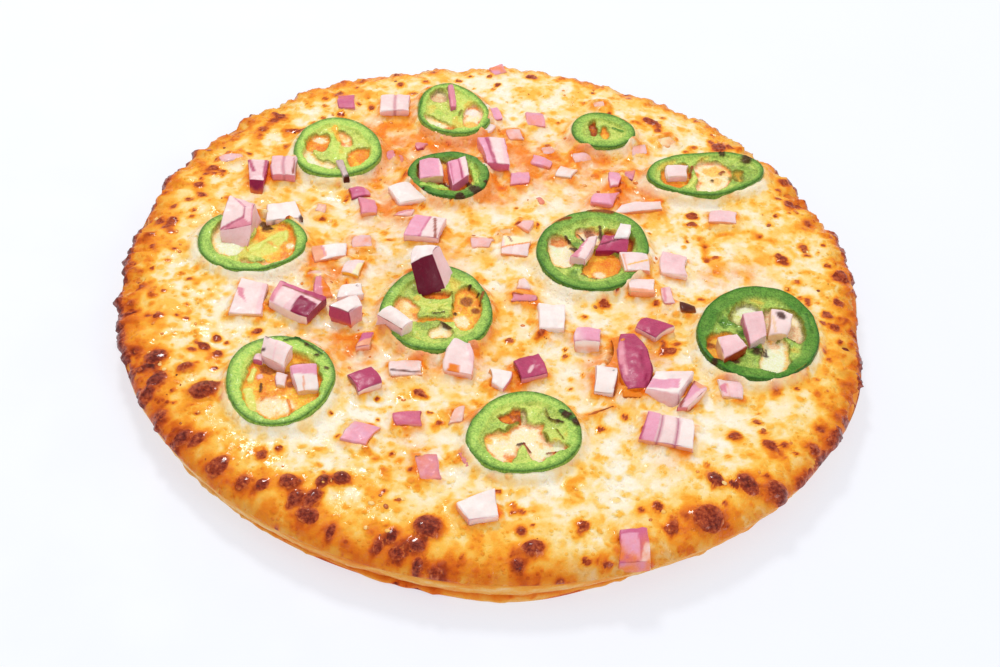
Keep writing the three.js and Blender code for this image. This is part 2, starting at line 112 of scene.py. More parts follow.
def cloud(points, size, seed, layers=3):  # grain with finer and weaker layers over it
    return sum(grain(points, size / 2 ** k, seed + k) / 1.8 ** k for k in range(layers))


def flat(x, y):
    return np.column_stack([x, y, np.zeros(len(x))])


def ease(value, low, high):  # 0 below low and 1 above high, soft between; high may be the lower one
    t = np.clip((value - low) / (high - low), 0, 1)
    return t * t * (3 - 2 * t)


def bell(x):
    return np.exp(-0.5 * x * x)


def apart(a, b):  # degrees from b to a, the short way round
    return (a - b + 180) % 360 - 180


def polar(angle, distance):  # degrees and distance from the middle, to across and away
    turn = np.radians(angle)
    return distance * np.cos(turn), distance * np.sin(turn)


def domes(x, y, rows):  # soft rounds added up: across, away, reach, amount
    return sum(by * bell(np.hypot(x - cx, y - cy) / wide) for cx, cy, wide, by in rows)


def lobes(angle, rows):  # the same round the rim: angle, amount, half width
    return sum(by * bell(apart(angle, at) / wide) for at, by, wide in rows)


def nearTo(x, y, cx, cy, reach):
    return np.nonzero((np.abs(x - cx) < reach) & (np.abs(y - cy) < reach))[0]


def blended(a, b, mask):
    return a + (b - a) * mask[:, None]


def filled(tone, count):
    return np.tile(tone, (count, 1))


def outlineGap(outline, x, y):  # distance from a closed outline, negative inside it
    points = np.reshape(outline, (-1, 2))
    gap, inside = np.full(len(x), 1e9), np.zeros(len(x), bool)
    for (ax, ay), (bx, by) in zip(points, np.roll(points, -1, 0)):
        gap = np.minimum(gap, strokeGap(ax, ay, bx, by, x, y))
        if ay != by:
            inside ^= ((ay > y) != (by > y)) & (x < (bx - ax) * (y - ay) / (by - ay) + ax)
    return np.where(inside, -gap, gap)


def strokeGap(ax, ay, bx, by, x, y):  # distance from a straight line between two points
    along = ((x - ax) * (bx - ax) + (y - ay) * (by - ay)) / ((bx - ax) ** 2 + (by - ay) ** 2)
    along = np.clip(along, 0, 1)
    return np.hypot(x - ax - along * (bx - ax), y - ay - along * (by - ay))


# meshes and node trees


def roundSkin(rows, n, outward=True):  # faces between closed rows, and fans to the two points after them
    ids = np.arange(rows * n).reshape(rows, n)
    right = np.roll(ids, -1, 1)
    way = 1 if outward else -1
    quads = np.stack([ids[:-1], right[:-1], right[1:], ids[1:]], -1).reshape(-1, 4)[:, ::way]
    fans = []
    for middle, ends in (ids.size, (right[0], ids[0])), (ids.size + 1, (ids[-1], right[-1])):
        fans += [[middle, int(a), int(b)] for a, b in zip(*ends[::way])]
    return quads.tolist() + fans


def makePiece(name, points, faces, values, colours, finish, stands=()):
    mesh = bpy.data.meshes.new(name)
    mesh.from_pydata((np.asarray(points) * mm).tolist(), [], faces)
    for key, value in values.items():
        mesh.attributes.new(key, "FLOAT", "POINT").data.foreach_set("value", np.asarray(value, np.float32))
    for key, value in colours.items():
        rgba = np.column_stack([value, np.ones(len(value))]).astype(np.float32)
        mesh.attributes.new(key, "FLOAT_COLOR", "POINT").data.foreach_set("color", rgba.ravel())
    mesh.polygons.foreach_set("use_smooth", [True] * len(mesh.polygons))
    mesh.update()
    mesh.materials.append(finish)
    piece = linked(name, mesh)
    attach(piece, "root")
    if stands:
        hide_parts(*stands)
    return piece


class Wire:
    # a socket that can be written in sums
    def __init__(self, finish, socket):
        self.finish = finish
        self.socket = socket

    def __add__(self, other):
        return self.finish.maths("ADD", self, other)

    def __sub__(self, other):
        return self.finish.maths("SUBTRACT", self, other)

    def __rsub__(self, other):
        return self.finish.maths("SUBTRACT", other, self)

    def __mul__(self, other):
        return self.finish.maths("MULTIPLY", self, other)

    __radd__ = __add__
    __rmul__ = __mul__

    def held(self):  # kept between 0 and 1
        return self.finish.add("ShaderNodeMath", {"operation": "ADD", "use_clamp": True}, {0: self, 1: 0.0})


class Finish:
    # a material and the nodes behind its shader
    def __init__(self, name, radius=(1.0, 0.2, 0.1), **fixed):
        self.material = bpy.data.materials.new(name)
        self.material.use_nodes = True
        self.tree = self.material.node_tree
        self.shader = self.tree.nodes["Principled BSDF"]
        self.shader.inputs["Subsurface Radius"].default_value = radius
        for socket, value in fixed.items():
            self.shader.inputs[socket.replace("_", " ")].default_value = value
        self.place = self.add("ShaderNodeTexCoord", out="Object")

    def add(self, kind, settings=None, sockets=None, out=0):
        node = self.tree.nodes.new(kind)
        for key, value in (settings or {}).items():
            if key == "stops":
                self.setStops(node.color_ramp, value)
            else:
                setattr(node, key, value)
        for key, value in (sockets or {}).items():
            if isinstance(value, Wire):
                self.tree.links.new(value.socket, node.inputs[key])
            else:
                node.inputs[key].default_value = value
        return Wire(self, node.outputs[out])

    def setStops(self, ramp, stops):
        for _ in stops[2:]:
            ramp.elements.new(0.5)
        for element, (at, colour) in zip(ramp.elements, stops):
            element.position = at
            element.color = (*colour, 1)

    def maths(self, operation, a, b):
        return self.add("ShaderNodeMath", {"operation": operation}, {0: a, 1: b})

    def noise(self, size, detail=2.0, rough=0.5, twist=0.0):  # lumps of a size in millimetres
        sockets = {"Vector": self.place, "Scale": 1 / (size * mm), "Detail": detail, "Roughness": rough,
                   "Distortion": twist}
        return self.add("ShaderNodeTexNoise", None, sockets)

    def cells(self, size):  # distance from scattered points, a size in millimetres apart
        return self.add("ShaderNodeTexVoronoi", None, {"Vector": self.place, "Scale": 1 / (size * mm)})

    def reading(self, name, out="Fac"):
        return self.add("ShaderNodeAttribute", {"attribute_name": name}, None, out)

    def ramp(self, value, stops):
        return self.add("ShaderNodeValToRGB", {"stops": stops}, {0: value})

    def between(self, value, low, high, start=0.0, end=1.0):
        sockets = {"Value": value, "From Min": low, "From Max": high, "To Min": start, "To Max": end}
        return self.add("ShaderNodeMapRange", {"interpolation_type": "SMOOTHSTEP"}, sockets)

    def mixed(self, a, b, mask, way="MIX"):
        a, b = ((*c, 1) if isinstance(c, tuple) else c for c in (a, b))
        return self.add("ShaderNodeMix", {"data_type": "RGBA", "blend_type": way}, {0: mask, 6: a, 7: b}, 2)

    def feed(self, socket, wire):
        self.tree.links.new(wire.socket, self.shader.inputs[socket])

    def bump(self, height, depth, strength):
        sockets = {"Strength": strength, "Distance": depth * mm, "Height": height}
        self.feed("Normal", self.add("ShaderNodeBump", None, sockets))


# the melted cheese, in millimetres; its rim's lobes are angle, reach and half width

cheese = {
    "rim": 104.5, "crown": 13.4, "shoulder": 0.6, "lip": 9.2, "under": 12.3, "cells": 286, "rollFrom": 0.86,
    "lobes": [(147, 1.4, 12), (120, 1.9, 8), (89, 2.3, 7), (55, 1.6, 14), (-3, -2, 5), (180, -1.2, 9),
              (-20, 0.6, 7)],
    "swellings": [(67, 14, 5, 1.3), (-86, 20, 4.5, 0.5), (40, -84, 4.5, 0.5), (-30, 88, 5, 0.5),
                  (80, -38, 4, 0.5)],
    "ripples": [(0.14, 0.31, 0.12), (0.12, -0.16, 0.37)],  # height, and how fast across and away
    "tuck": [(0.05, 8.6), (-0.5, 8.1), (-1.6, 9.9), (-4, 11.6), (-8, 12.3)],  # under the rim: out, height
    "freckles": 1500, "craters": 150, "rimCraters": 110, "seed": 7,
    "freckleReach": 104, "craterReach": 102, "blisterGrow": 1.12,
    "smallTone": 0.62, "brownTone": 0.68,  # how dark a spot is in its middle
    "sideTurn": 0.75,  # share of the relief that goes outward where the rim rolls over
}

# dark blisters: angle, distance from the middle, half width round the rim and outward
blisters = [
    (-143, 90.1, 2.8, 3.6), (-153.7, 96.8, 2.1, 2.5), (-149.2, 98.9, 1.9, 2.4), (-147.8, 101.8, 1.4, 1.6),
    (-142.8, 102.5, 1.7, 1.7), (-149.3, 91.2, 1.5, 2.2), (-137.2, 101.7, 1.6, 2.6),
    (-135.2, 99.5, 1.5, 2.4), (-129.4, 100.6, 2.5, 2.5), (-124.6, 100.4, 1.7, 1.9),
    (-122.2, 98.1, 1.5, 1.7), (-119, 93.9, 2.4, 1.9), (-116.6, 96.9, 1.7, 2.3), (-114.5, 95.1, 1.7, 2.7),
    (-113.5, 99.4, 2.7, 1.9), (-114.8, 89.6, 1.5, 2.3), (-112.6, 86.5, 2, 2), (-109.5, 100.9, 1, 2),
    (-102.6, 100.7, 1.2, 2), (-101.3, 97.7, 1.2, 1.6), (-99.8, 101.6, 1.9, 1.4), (-96.5, 93.2, 3.4, 2.7),
    (-97.4, 98.5, 2.1, 1.6), (-96.8, 103.2, 1.2, 1.7), (-94.2, 103.6, 1.7, 1.2), (-92.9, 106, 1.7, 1.5),
    (-81, 96.7, 2.7, 1.9), (-83.4, 101.1, 1.4, 1.4), (-82.6, 92.4, 1.2, 1.2), (-77.9, 105.2, 1.2, 0.8),
    (-54.8, 99.2, 4.3, 3.4), (-49.4, 91.4, 1.8, 2.3), (-47.5, 95.2, 0.8, 1.6), (-45.7, 97.2, 2.1, 3.4),
    (-42.7, 102.5, 2.7, 2.7), (-37.9, 104.3, 2.8, 1.2), (-32.4, 101.5, 1.5, 1.5), (-28, 103.8, 3, 1.6),
]

# brown spots: angle, distance, half width round and outward
brownSpots = [
    (-153.4, 84.1, 2.1, 1.9), (-150.5, 81.5, 1.6, 1.5), (-125.7, 91.9, 1.5, 1.3), (-124.8, 87.4, 1, 1.4),
    (-154.7, 80, 1.3, 1.5), (-154, 69, 1.3, 1.6), (-162.8, 93.9, 1.3, 1.6), (-39.6, 84.6, 1.3, 1.3),
    (-109.6, 50.9, 1.6, 1.5), (-35.2, 95.3, 1.1, 1.1), (-36.9, 92.7, 1.6, 3.1), (-72.8, 92.1, 1.5, 1.5),
    (-71.2, 102.9, 1.2, 0.9), (-60.7, 92, 1.3, 1.9), (-60.2, 98.2, 1.5, 1.5), (31.8, 66.2, 1.5, 1.9),
    (28.4, 63.5, 1.5, 1.8), (61, 90.6, 2.6, 1.6), (86.7, 98.5, 2, 1.5), (137.2, 96.5, 1.9, 2.5),
    (162, 93.5, 1.2, 1.5), (164.8, 90.5, 1.2, 1.4), (173, 94.3, 1.7, 1.4), (172.9, 98.1, 1.2, 1.5),
    (120.6, 85.4, 0.9, 1.5), (46.3, 94.7, 2, 2.9), (13, 83.2, 1.8, 1.3), (8.3, 99.4, 2.3, 1.9),
    (1.3, 96.9, 1.7, 1.7), (-2.5, 93.5, 1.5, 1.7), (27.2, 96.7, 2.1, 2.2),
]

# small brown spots by place: across, away, radius
smallSpots = [
    (-49.5, -25.8, 0.8), (-11, -57.7, 0.8), (-38.7, -57.9, 0.8), (-22.6, -82.8, 1), (5.2, -25.1, 1.3),
    (14, -22.1, 1.1), (20.5, -26.7, 0.8), (20.5, -29.4, 0.8), (30.7, -7.4, 2), (38.2, -3.1, 0.8),
    (45.2, -5.5, 0.8), (49.2, -23.9, 1.8), (25.5, -35.7, 0.6), (22.5, -41.6, 0.8), (30.6, -55.2, 1.1),
    (36.8, -50.2, 0.8), (27.9, -97.4, 1.3), (64.7, -54, 0.9), (87.9, -47.6, 1), (54.5, 22.8, 0.6),
    (76, 27.6, 0.8), (81.3, 37.7, 0.8), (96.1, -13.8, 0.8), (-84.7, -27, 0.6), (-82.7, -22.2, 0.8),
    (-90.1, -17.9, 0.9), (-71.2, -45.9, 0.8), (-86.7, -10.1, 0.8), (-97.2, 1, 1.2), (-95.2, -8.5, 0.8),
    (-47.1, -93.2, 0.5), (-47.7, -95.7, 0.5), (-62.7, -84, 0.5), (4.1, 32, 0.7), (-15, 29.9, 0.5),
    (61.7, -76.1, 0.5), (78, -55, 0.9), (59.5, -69, 1.4), (48, -86, 1.6), (45, -80, 1), (41, -82, 0.8),
    (12, -91, 1), (14.6, -89.4, 0.7), (-50, -72, 0.9), (-54, -74, 1.5), (-27.6, -51, 0.7), (82, 18, 1.2),
    (92.5, -4.5, 1.1), (43.5, 25, 0.6), (-12, -28, 0.6), (-36, -66, 0.6), (-17, -48, 0.8), (-22, -70, 0.9),
    (47, -24.6, 1.2), (13.6, -23, 0.8), (-88.5, 14, 0.6), (-94.6, 19, 0.9), (-92.8, 7, 0.8),
    (-51.5, 18.4, 0.9),
]

# where the bake is deeper or paler: across, away, reach, by how much
bakeTones = [
    (-98, 5, 9, 0.16), (-97, -30, 11, 0.21), (-87, -52, 13, 0.2), (-72, -74, 13, 0.15), (-46, -90, 13, 0.2),
    (-15, -99, 12, 0.26), (14, -99, 11, 0.22), (76, -68, 11, 0.08), (55, -80, 9, 0.12), (93, -32, 10, 0.12),
    (97, 0, 8, 0.12), (94, 42, 11, 0.14), (-90, 38, 13, 0.11), (-75, 62, 13, 0.12), (-48, 85, 13, 0.12),
    (-10, 97, 15, -0.02), (35, 92, 13, 0.04), (80, 20, 10, 0.08), (48, 25, 9, -0.07), (68, 16, 7, 0.13),
    (95, -15, 9, 0.12), (-12, 28, 7, 0.1), (70, 70, 12, 0.1), (-92, -10, 10, 0.03), (-45, -70, 15, -0.1),
    (0, -82, 11, -0.03), (30, -72, 14, -0.03), (52, -58, 13, -0.03), (-22, 30, 9, -0.1),
    (82, 24, 15, -0.04), (-62, -8, 10, -0.1), (-5, 22, 9, -0.04), (60, 10, 9, -0.08), (20, -16, 8, -0.03),
    (-58, 70, 13, -0.05), (60, 75, 14, -0.05), (0, 90, 12, -0.04), (-35, 5, 7, -0.05), (-50, -34, 5, -0.08),
    (4, -34, 6, 0.04), (84, -54, 10, 0.1),
]

# seasoned oil that has run out: across, away, reach, amount
oilPools = [
    (-28, 59, 6, 0.9), (-38, 60, 5, 0.7), (-35, 48, 5, 0.6), (-41, 64, 4, 0.5), (14, 57, 7, 0.45),
    (26, 57, 6, 0.5), (37, 50, 6, 0.6), (-1, 61, 5, 0.7), (9, 49, 6, 0.45), (-33, 24, 5, 0.6),
    (-38, 38, 4, 0.5), (-12, 33, 4, 0.3), (37, -39, 3.4, 1), (33, -30, 4, 0.9), (27, -22, 3, 0.5),
    (8, -41, 4, 0.5), (-3, -56, 3, 0.6), (-20, -61, 2.6, 0.5), (-16, -70, 3.4, 0.5), (-50, -29, 4, 0.5),
    (-37, -30, 4, 0.5), (8, -7, 3.4, 0.6), (-44, -6, 4, 0.5), (-50, -4, 4, 0.5), (44, -26, 3.4, 0.6),
    (-14, 5, 4, 0.5), (-8, -34, 4, 0.6), (45, -7, 4, 0.35), (28, 40, 6, 0.5), (46, 43, 4, 0.5),
    (-35, -36, 5, 0.4), (-31, 1, 5, 0.2), (-45, 1, 5, 0.3), (-14, -34, 5, 0.6), (-38, -31, 4, 0.5),
    (31, -36, 4, 0.7), (-3, -31, 4, 0.35), (-14, 14, 6, 0.2), (-14, 58, 5, 1.2), (-2, 37, 4, 0.9),
    (21, 54, 5, 0.7), (38, 40, 5, 0.8), (7, 45, 4, 0.5), (-42, 43, 3, 0.8), (-21, 60, 4, 0.8),
    (-31, 28, 4, 0.6), (3, 56, 4, 0.8), (50, -62, 3.4, 0.4), (62, 8, 3, 0.6), (72, 10, 5, 0.4),
    (-40, 8, 5, 0.2), (-72, 22, 3, 0.4),
]

# creases beside the swollen bubble: from, to, half width, amount
creases = [
    (59.6, 21.4, 59.8, 15.6, 0.8, 0.42), (59.8, 15.6, 62, 10.4, 0.7, 0.32), (62, 10.4, 65.4, 7, 0.7, 0.22),
    (60, 22, 64, 27.6, 0.9, 0.28), (64, 27.6, 73, 29.4, 0.9, 0.22), (74, 27, 82, 26, 0.9, 0.2),
]

# parts of the rim that have burnt along the edge: angle, amount, half width
rimBurns = [
    (168, 0.75, 9), (-176, 0.85, 9), (-160, 0.85, 7), (153, 0.45, 6), (-19, 0.6, 9), (-4, 0.3, 5),
    (8, 0.45, 4), (30, 0.65, 5), (-33, 0.6, 5), (128, 0.3, 7), (45, 0.3, 5), (62, 0.2, 8), (-12, 0.5, 4),
    (-148, 0.6, 5),
]


def rimAt(angle):
    return cheese["rim"] + lobes(angle, cheese["lobes"])


def aroundRim(x, y):  # angle, share of the way to the rim, and how far the rim has rolled over
    angle = np.degrees(np.arctan2(y, x))
    reach = np.hypot(x, y) / rimAt(angle)
    return angle, reach, np.clip((reach - cheese["rollFrom"]) / (1 - cheese["rollFrom"]), 0, 1)


def cheeseHeight(x, y):
    _, reach, roll = aroundRim(x, y)
    crown = cheese["crown"] + cheese["shoulder"] * np.clip((reach - 0.45) / 0.4, 0, 1) ** 2
    drop = (crown - cheese["lip"]) * (1 - np.sqrt(1 - roll * roll))
    ripple = sum(by * np.sin(x * a + y * b) for by, a, b in cheese["ripples"])
    return crown - drop + (domes(x, y, cheese["swellings"]) + ripple) * (1 - roll)


def discGrid(count):  # an even square grid bent into a disc, rows and columns kept
    k = np.linspace(-1, 1, count)
    a, b = np.meshgrid(k, k)
    wide = np.abs(a) > np.abs(b)
    radius = np.where(wide, a, b)
    with np.errstate(divide="ignore", invalid="ignore"):
        turn = np.where(wide, math.pi / 4 * b / a, math.pi / 2 - math.pi / 4 * a / b)
    turn = np.nan_to_num(turn)
    return (radius * np.cos(turn)).ravel(), (radius * np.sin(turn)).ravel()


def evenReach(radius):  # rows closer together where the rim rolls over
    s = np.linspace(0, 1, 500)
    z = cheeseHeight(s * cheese["rim"], 0 * s)
    run = np.concatenate([[0], np.cumsum(np.hypot(np.diff(s * cheese["rim"]), np.diff(z)))])
    return np.interp(radius, run / run[-1], s)


def cheeseFields(x, y, footprints):
    p = flat(x, y)
    angle, reach, roll = aroundRim(x, y)
    warp, broad = cloud(p, 2.6, 11), cloud(p, 9, 21)
    patch, fine = cloud(p, 4.2, 31), cloud(p, 1.7, 41)
    ragged = ease(np.abs(apart(angle, -85)), 35, 70)  # all round but for the near edge
    outer = ease(reach, 0.88, 0.98)
    relief = 0.22 * broad + 0.12 * patch + 0.07 * fine
    bake = 0.045 + 0.06 * broad + 0.13 * ease(patch + 0.25 * broad, -0.1, 0.45) + 0.02 * fine
    bake += domes(x, y, bakeTones) + (0.1 + 0.1 * ragged) * outer
    for ax, ay, bx, by, wide, amount in creases:
        line = bell(strokeGap(ax, ay, bx, by, x, y) / wide * (1 + 0.4 * warp))
        bake += amount * line
        relief -= 1.2 * amount * line

    # burnt and craggy edge, smoother on the far side
    around = np.column_stack([angle * 1.8, reach * 40, 0 * x])
    lumps, knobs = cloud(around, 6.5, 61), cloud(around, 3.2, 63)
    edge = ease(reach + 0.01 * knobs, 0.985 - 0.012 * ragged, 1.0)
    burn = lobes(angle, rimBurns) * (0.9 + 0.8 * knobs) + 0.65 * ragged * ease(lumps, -0.3, 0.4)
    ragged *= 0.4 + 0.6 * ease(np.abs(apart(angle, 92)), 22, 48)
    relief += (0.3 + 0.7 * ragged) * (lumps + 1.5 * knobs + 0.6 * fine) * outer

    f = {"x": x, "y": y, "roll": roll, "warp": warp, "relief": relief, "bake": bake,
         "char": edge * np.clip(burn, 0, 1), "halo": np.zeros(len(x)),
         "oil": np.clip(domes(x, y, oilPools) * (0.75 + 0.5 * warp), 0, 1),
         "wet": 0.25 + 0.9 * ease(cloud(p, 3.4, 51), 0.05, 0.5)}
    addSpots(f)
    for mark in footprints:
        addClimb(f, mark)
    f["wet"] = np.clip(f["wet"] * 0.6 + f["oil"] * 0.6 + f["char"] * 0.5, 0, 1)
    for key in ("bake", "oil", "halo", "char"):
        f[key] = np.clip(f[key], 0, 1.1 if key == "bake" else 1)
    return f


def addSpots(f):  # small bubbles that have browned: soft freckles, then ringed craters, spots and blisters
    rng = np.random.default_rng(cheese["seed"])
    for _ in range(cheese["freckles"]):
        a, d = rng.uniform(-180, 180), cheese["freckleReach"] * math.sqrt(rng.uniform(0, 1))
        cx, cy = polar(a, d)
        size = rng.uniform(0.5, 1.5)
        i = nearTo(f["x"], f["y"], cx, cy, size * 2.2)
        off = np.hypot(f["x"][i] - cx, f["y"][i] - cy) / size * (1 + 0.35 * f["warp"][i])
        deep = rng.uniform(0.06, 0.3) * (0.35 + 1.5 * max(0.0, 0.1 + 0.3 * math.sin(a * 0.03 + d * 0.07)))
        deep *= 0.5 if (cx > 40 and cy > 5) else 1
        f["bake"][i] += deep * ease(off, 1.25, 0.5)
        f["relief"][i] += 0.16 * size * ease(off, 1.2, 0.2)
    for _ in range(cheese["craters"]):
        a, d = rng.uniform(-180, 180), cheese["craterReach"] * math.sqrt(rng.uniform(0.05, 1))
        addSpot(f, *polar(a, d), 0, *rng.uniform(0.5, 1.1, 2), rng.uniform(0.3, 0.62))
    for _ in range(cheese["rimCraters"]):  # all round but for the near edge
        a, d, size = rng.uniform(-45, 225), rng.uniform(84, 102), rng.uniform(0.5, 1.3)
        addSpot(f, *polar(a, d), 0, size, size * 0.8, rng.uniform(0.45, 0.7))
    for cx, cy, size in smallSpots:
        addSpot(f, cx, cy, 20, size, size * 0.9, cheese["smallTone"])
    for at, d, around, outward in brownSpots:
        addSpot(f, *polar(at, d), at, outward, around, cheese["brownTone"])
    grow = cheese["blisterGrow"]
    for at, d, around, outward in blisters:
        addBlister(f, *polar(at, d), at, outward * grow, around * grow)


def spotOff(f, cx, cy, at, outward, around, bend):  # points near a spot, and how far each lies off its middle
    turn = math.radians(at)
    i = nearTo(f["x"], f["y"], cx, cy, 2.6 * max(outward, around))
    dx, dy = f["x"][i] - cx, f["y"][i] - cy
    off = np.hypot((dx * math.cos(turn) + dy * math.sin(turn)) / outward,
                   (dy * math.cos(turn) - dx * math.sin(turn)) / around)
    return i, off * (1 + bend * f["warp"][i])


def addSpot(f, cx, cy, at, outward, around, deep):
    i, off = spotOff(f, cx, cy, at, outward, around, 0.3)
    core = ease(off, 1.35, 0.6)
    bake = f["bake"][i]
    f["bake"][i] = np.maximum(bake, bake * (1 - core) + min(deep, 0.54) * core)
    f["bake"][i] += 0.13 * bell((off - 1.15) / 0.55)
    f["relief"][i] += 0.3 * around * ease(off, 1.3, 0.6) - 0.22 * around * ease(off, 0.6, 0.1)
    f["char"][i] = np.maximum(f["char"][i], deep * core * (0.75 + 0.4 * bell((off - 0.7) / 0.3)))


def addBlister(f, cx, cy, at, outward, around):
    i, off = spotOff(f, cx, cy, at, outward, around, 0.16)
    core = ease(off, 1.4, 0.5)
    bake, warp = f["bake"][i], f["warp"][i]
    f["bake"][i] = np.maximum(bake, bake * (1 - core) + core * 0.62)
    f["bake"][i] += 0.12 * bell((off - 1.25) / 0.35) * (0.9 + 0.4 * warp)
    dome = (0.7 + 0.2 * warp) * min(outward, around) * np.sqrt(np.clip(1.12 - off, 0, 1))
    f["relief"][i] = np.maximum(f["relief"][i], dome)
    dark = 0.85 + 0.3 * grain(flat(f["x"][i], f["y"][i]), 6, 77)
    f["char"][i] = np.maximum(f["char"][i], core * np.clip(dark, 0.65, 1))


def addClimb(f, mark):  # cheese climbs a little against what lies on it and browns there
    i = nearTo(f["x"], f["y"], *mark["at"], max(mark["size"]) * 0.75 + 4)
    gap = outsideOf(mark, f["x"][i], f["y"][i])
    warp = f["warp"][i]
    climb = (2.5 if mark["green"] else 1.1) * bell(np.maximum(gap, 0) / 1.1) * ease(gap, -1.2, -0.2)
    f["relief"][i] += climb - 0.08 * bell((gap - 2) / 0.9) - 0.5 * ease(gap, -0.6, -1.4)
    if mark["green"]:
        side = (f["y"][i] - mark["at"][1]) / mark["size"][1]
        pale = ease(gap, 2.2, 0.5) * ease(side, 0.1, -0.35) * (0.75 + 0.4 * warp) * (1 - mark["oil"])
        f["halo"][i] = np.maximum(f["halo"][i], pale)
        f["oil"][i] += mark["oil"] * bell((gap - 0.5) / 1.4) * (0.6 + 0.6 * warp)
        f["oil"][i] += 0.35 * bell((gap - 0.6) / 0.9) * ease(side, -0.2, 0.3) * (0.8 + warp)
    else:
        f["oil"][i] += mark["oil"] * bell(np.maximum(gap, 0) / 0.75) * (0.7 + 0.9 * warp)
        f["bake"][i] += 0.12 * bell(gap / 0.9) * (0.6 + warp)


def outsideOf(mark, x, y):  # distance outside an onion's or a ring's outline
    turn = math.radians(mark["turn"])
    dx, dy = x - mark["at"][0], y - mark["at"][1]
    a = np.abs(dx * math.cos(turn) + dy * math.sin(turn))
    b = np.abs(dy * math.cos(turn) - dx * math.sin(turn))
    wide, deep = mark["size"][0] / 2, mark["size"][1] / 2
    if mark["green"]:
        return (np.hypot(a / wide, b / deep) - 1) * min(wide, deep)
    a, b = a - wide, b - deep
    return np.hypot(np.maximum(a, 0), np.maximum(b, 0)) + np.minimum(np.maximum(a, b), 0)


def buildCheese(footprints, finish):
    n = cheese["cells"]
    gx, gy = discGrid(n)
    angle = np.degrees(np.arctan2(gy, gx))
    reach = evenReach(np.minimum(np.hypot(gx, gy), 1))
    x, y = polar(angle, reach * rimAt(angle))
    f = cheeseFields(x, y, footprints)
    relief, roll = f["relief"], f["roll"]
    grow = 1 + relief * roll * cheese["sideTurn"] / np.maximum(np.hypot(x, y), 1)
    height = cheeseHeight(x, y) + relief * (1 - cheese["sideTurn"] * roll)
    points = [np.column_stack([x * grow, y * grow, height])]

    ids = np.arange(n * n).reshape(n, n)
    quads = [np.stack([ids[:-1, :-1], ids[:-1, 1:], ids[1:, 1:], ids[1:, :-1]], -1).reshape(-1, 4)]
    loop = np.concatenate([ids[0, :-1], ids[:-1, -1], ids[-1, :0:-1], ids[:0:-1, 0]])
    before, count = loop, n * n
    for out, height in cheese["tuck"]:
        row = np.arange(len(loop)) + count
        px, py = polar(angle[loop], rimAt(angle[loop]) + out)
        points.append(np.column_stack([px, py, np.full(len(loop), height)]))
        quads.append(np.stack([before, row, np.roll(row, -1), np.roll(before, -1)], -1))
        before = row
        count += len(row)
    points.append([[0, 0, cheese["under"]]])
    fan = [[int(a), count, int(b)] for a, b in zip(before, np.roll(before, -1))]

    clear = np.ones(len(x))  # 0 under what lies on the cheese and where the rim rolls over
    for mark in footprints:
        i = nearTo(x, y, *mark["at"], max(mark["size"]) * 0.75 + 2)
        clear[i] *= ease(outsideOf(mark, x[i], y[i]), 0.6, 1.4)
    clear *= ease(roll, 0.9, 0.6)
    p = flat(x, y)
    bubbly = clear * (1 - f["char"]) * ease(cloud(p, 11, 401), -0.1, 0.5) * ease(f["bake"], 0.2, 0.45)
    values = {key: f[key] for key in ("bake", "oil", "halo", "char", "wet")}
    # side: where the rim has rolled over, read in the finish as painted shade on the outward-facing side
    values |= {"side": ease(roll, 0.5, 1), "bubbly": bubbly,
               "beaded": clear * (0.25 * ease(cloud(p, 7, 411), 0.1, 0.6) + ease(f["oil"], 0.15, 0.6)),
               "crumbed": clear * ease(f["bake"] + 0.2 * cloud(p, 9, 421), 0.35, 0.7)}
    for key, value in values.items():  # the rows under the rim keep the colour of the rim
        values[key] = np.concatenate([value, np.tile(value[loop], len(cheese["tuck"])), value[:1]])
    return makePiece("meltedCheese", np.vstack(points), np.vstack(quads).tolist() + fan, values, {}, finish,
                     ["melted_cheese"])


# browning of cheese and dough, from barely baked to burnt
bakeStops = [(at, shade(*rgb)) for at, rgb in [
    (0.0, (255, 247, 228)), (0.13, (255, 236, 198)), (0.25, (255, 221, 144)), (0.36, (255, 197, 82)),
    (0.48, (253, 166, 42)), (0.62, (236, 124, 26)), (0.74, (186, 76, 20)), (0.85, (128, 42, 18)),
    (0.94, (84, 24, 16)), (1.0, (54, 15, 12))]]
charStops = [(at, shade(*rgb)) for at, rgb in [
    (0.1, (66, 10, 3)), (0.31, (124, 33, 10)), (0.5, (182, 72, 22)), (0.72, (230, 130, 48))]]
warmDepth = (1.0, 0.5, 0.2)  # how far red, green and blue light reaches into dough and cheese


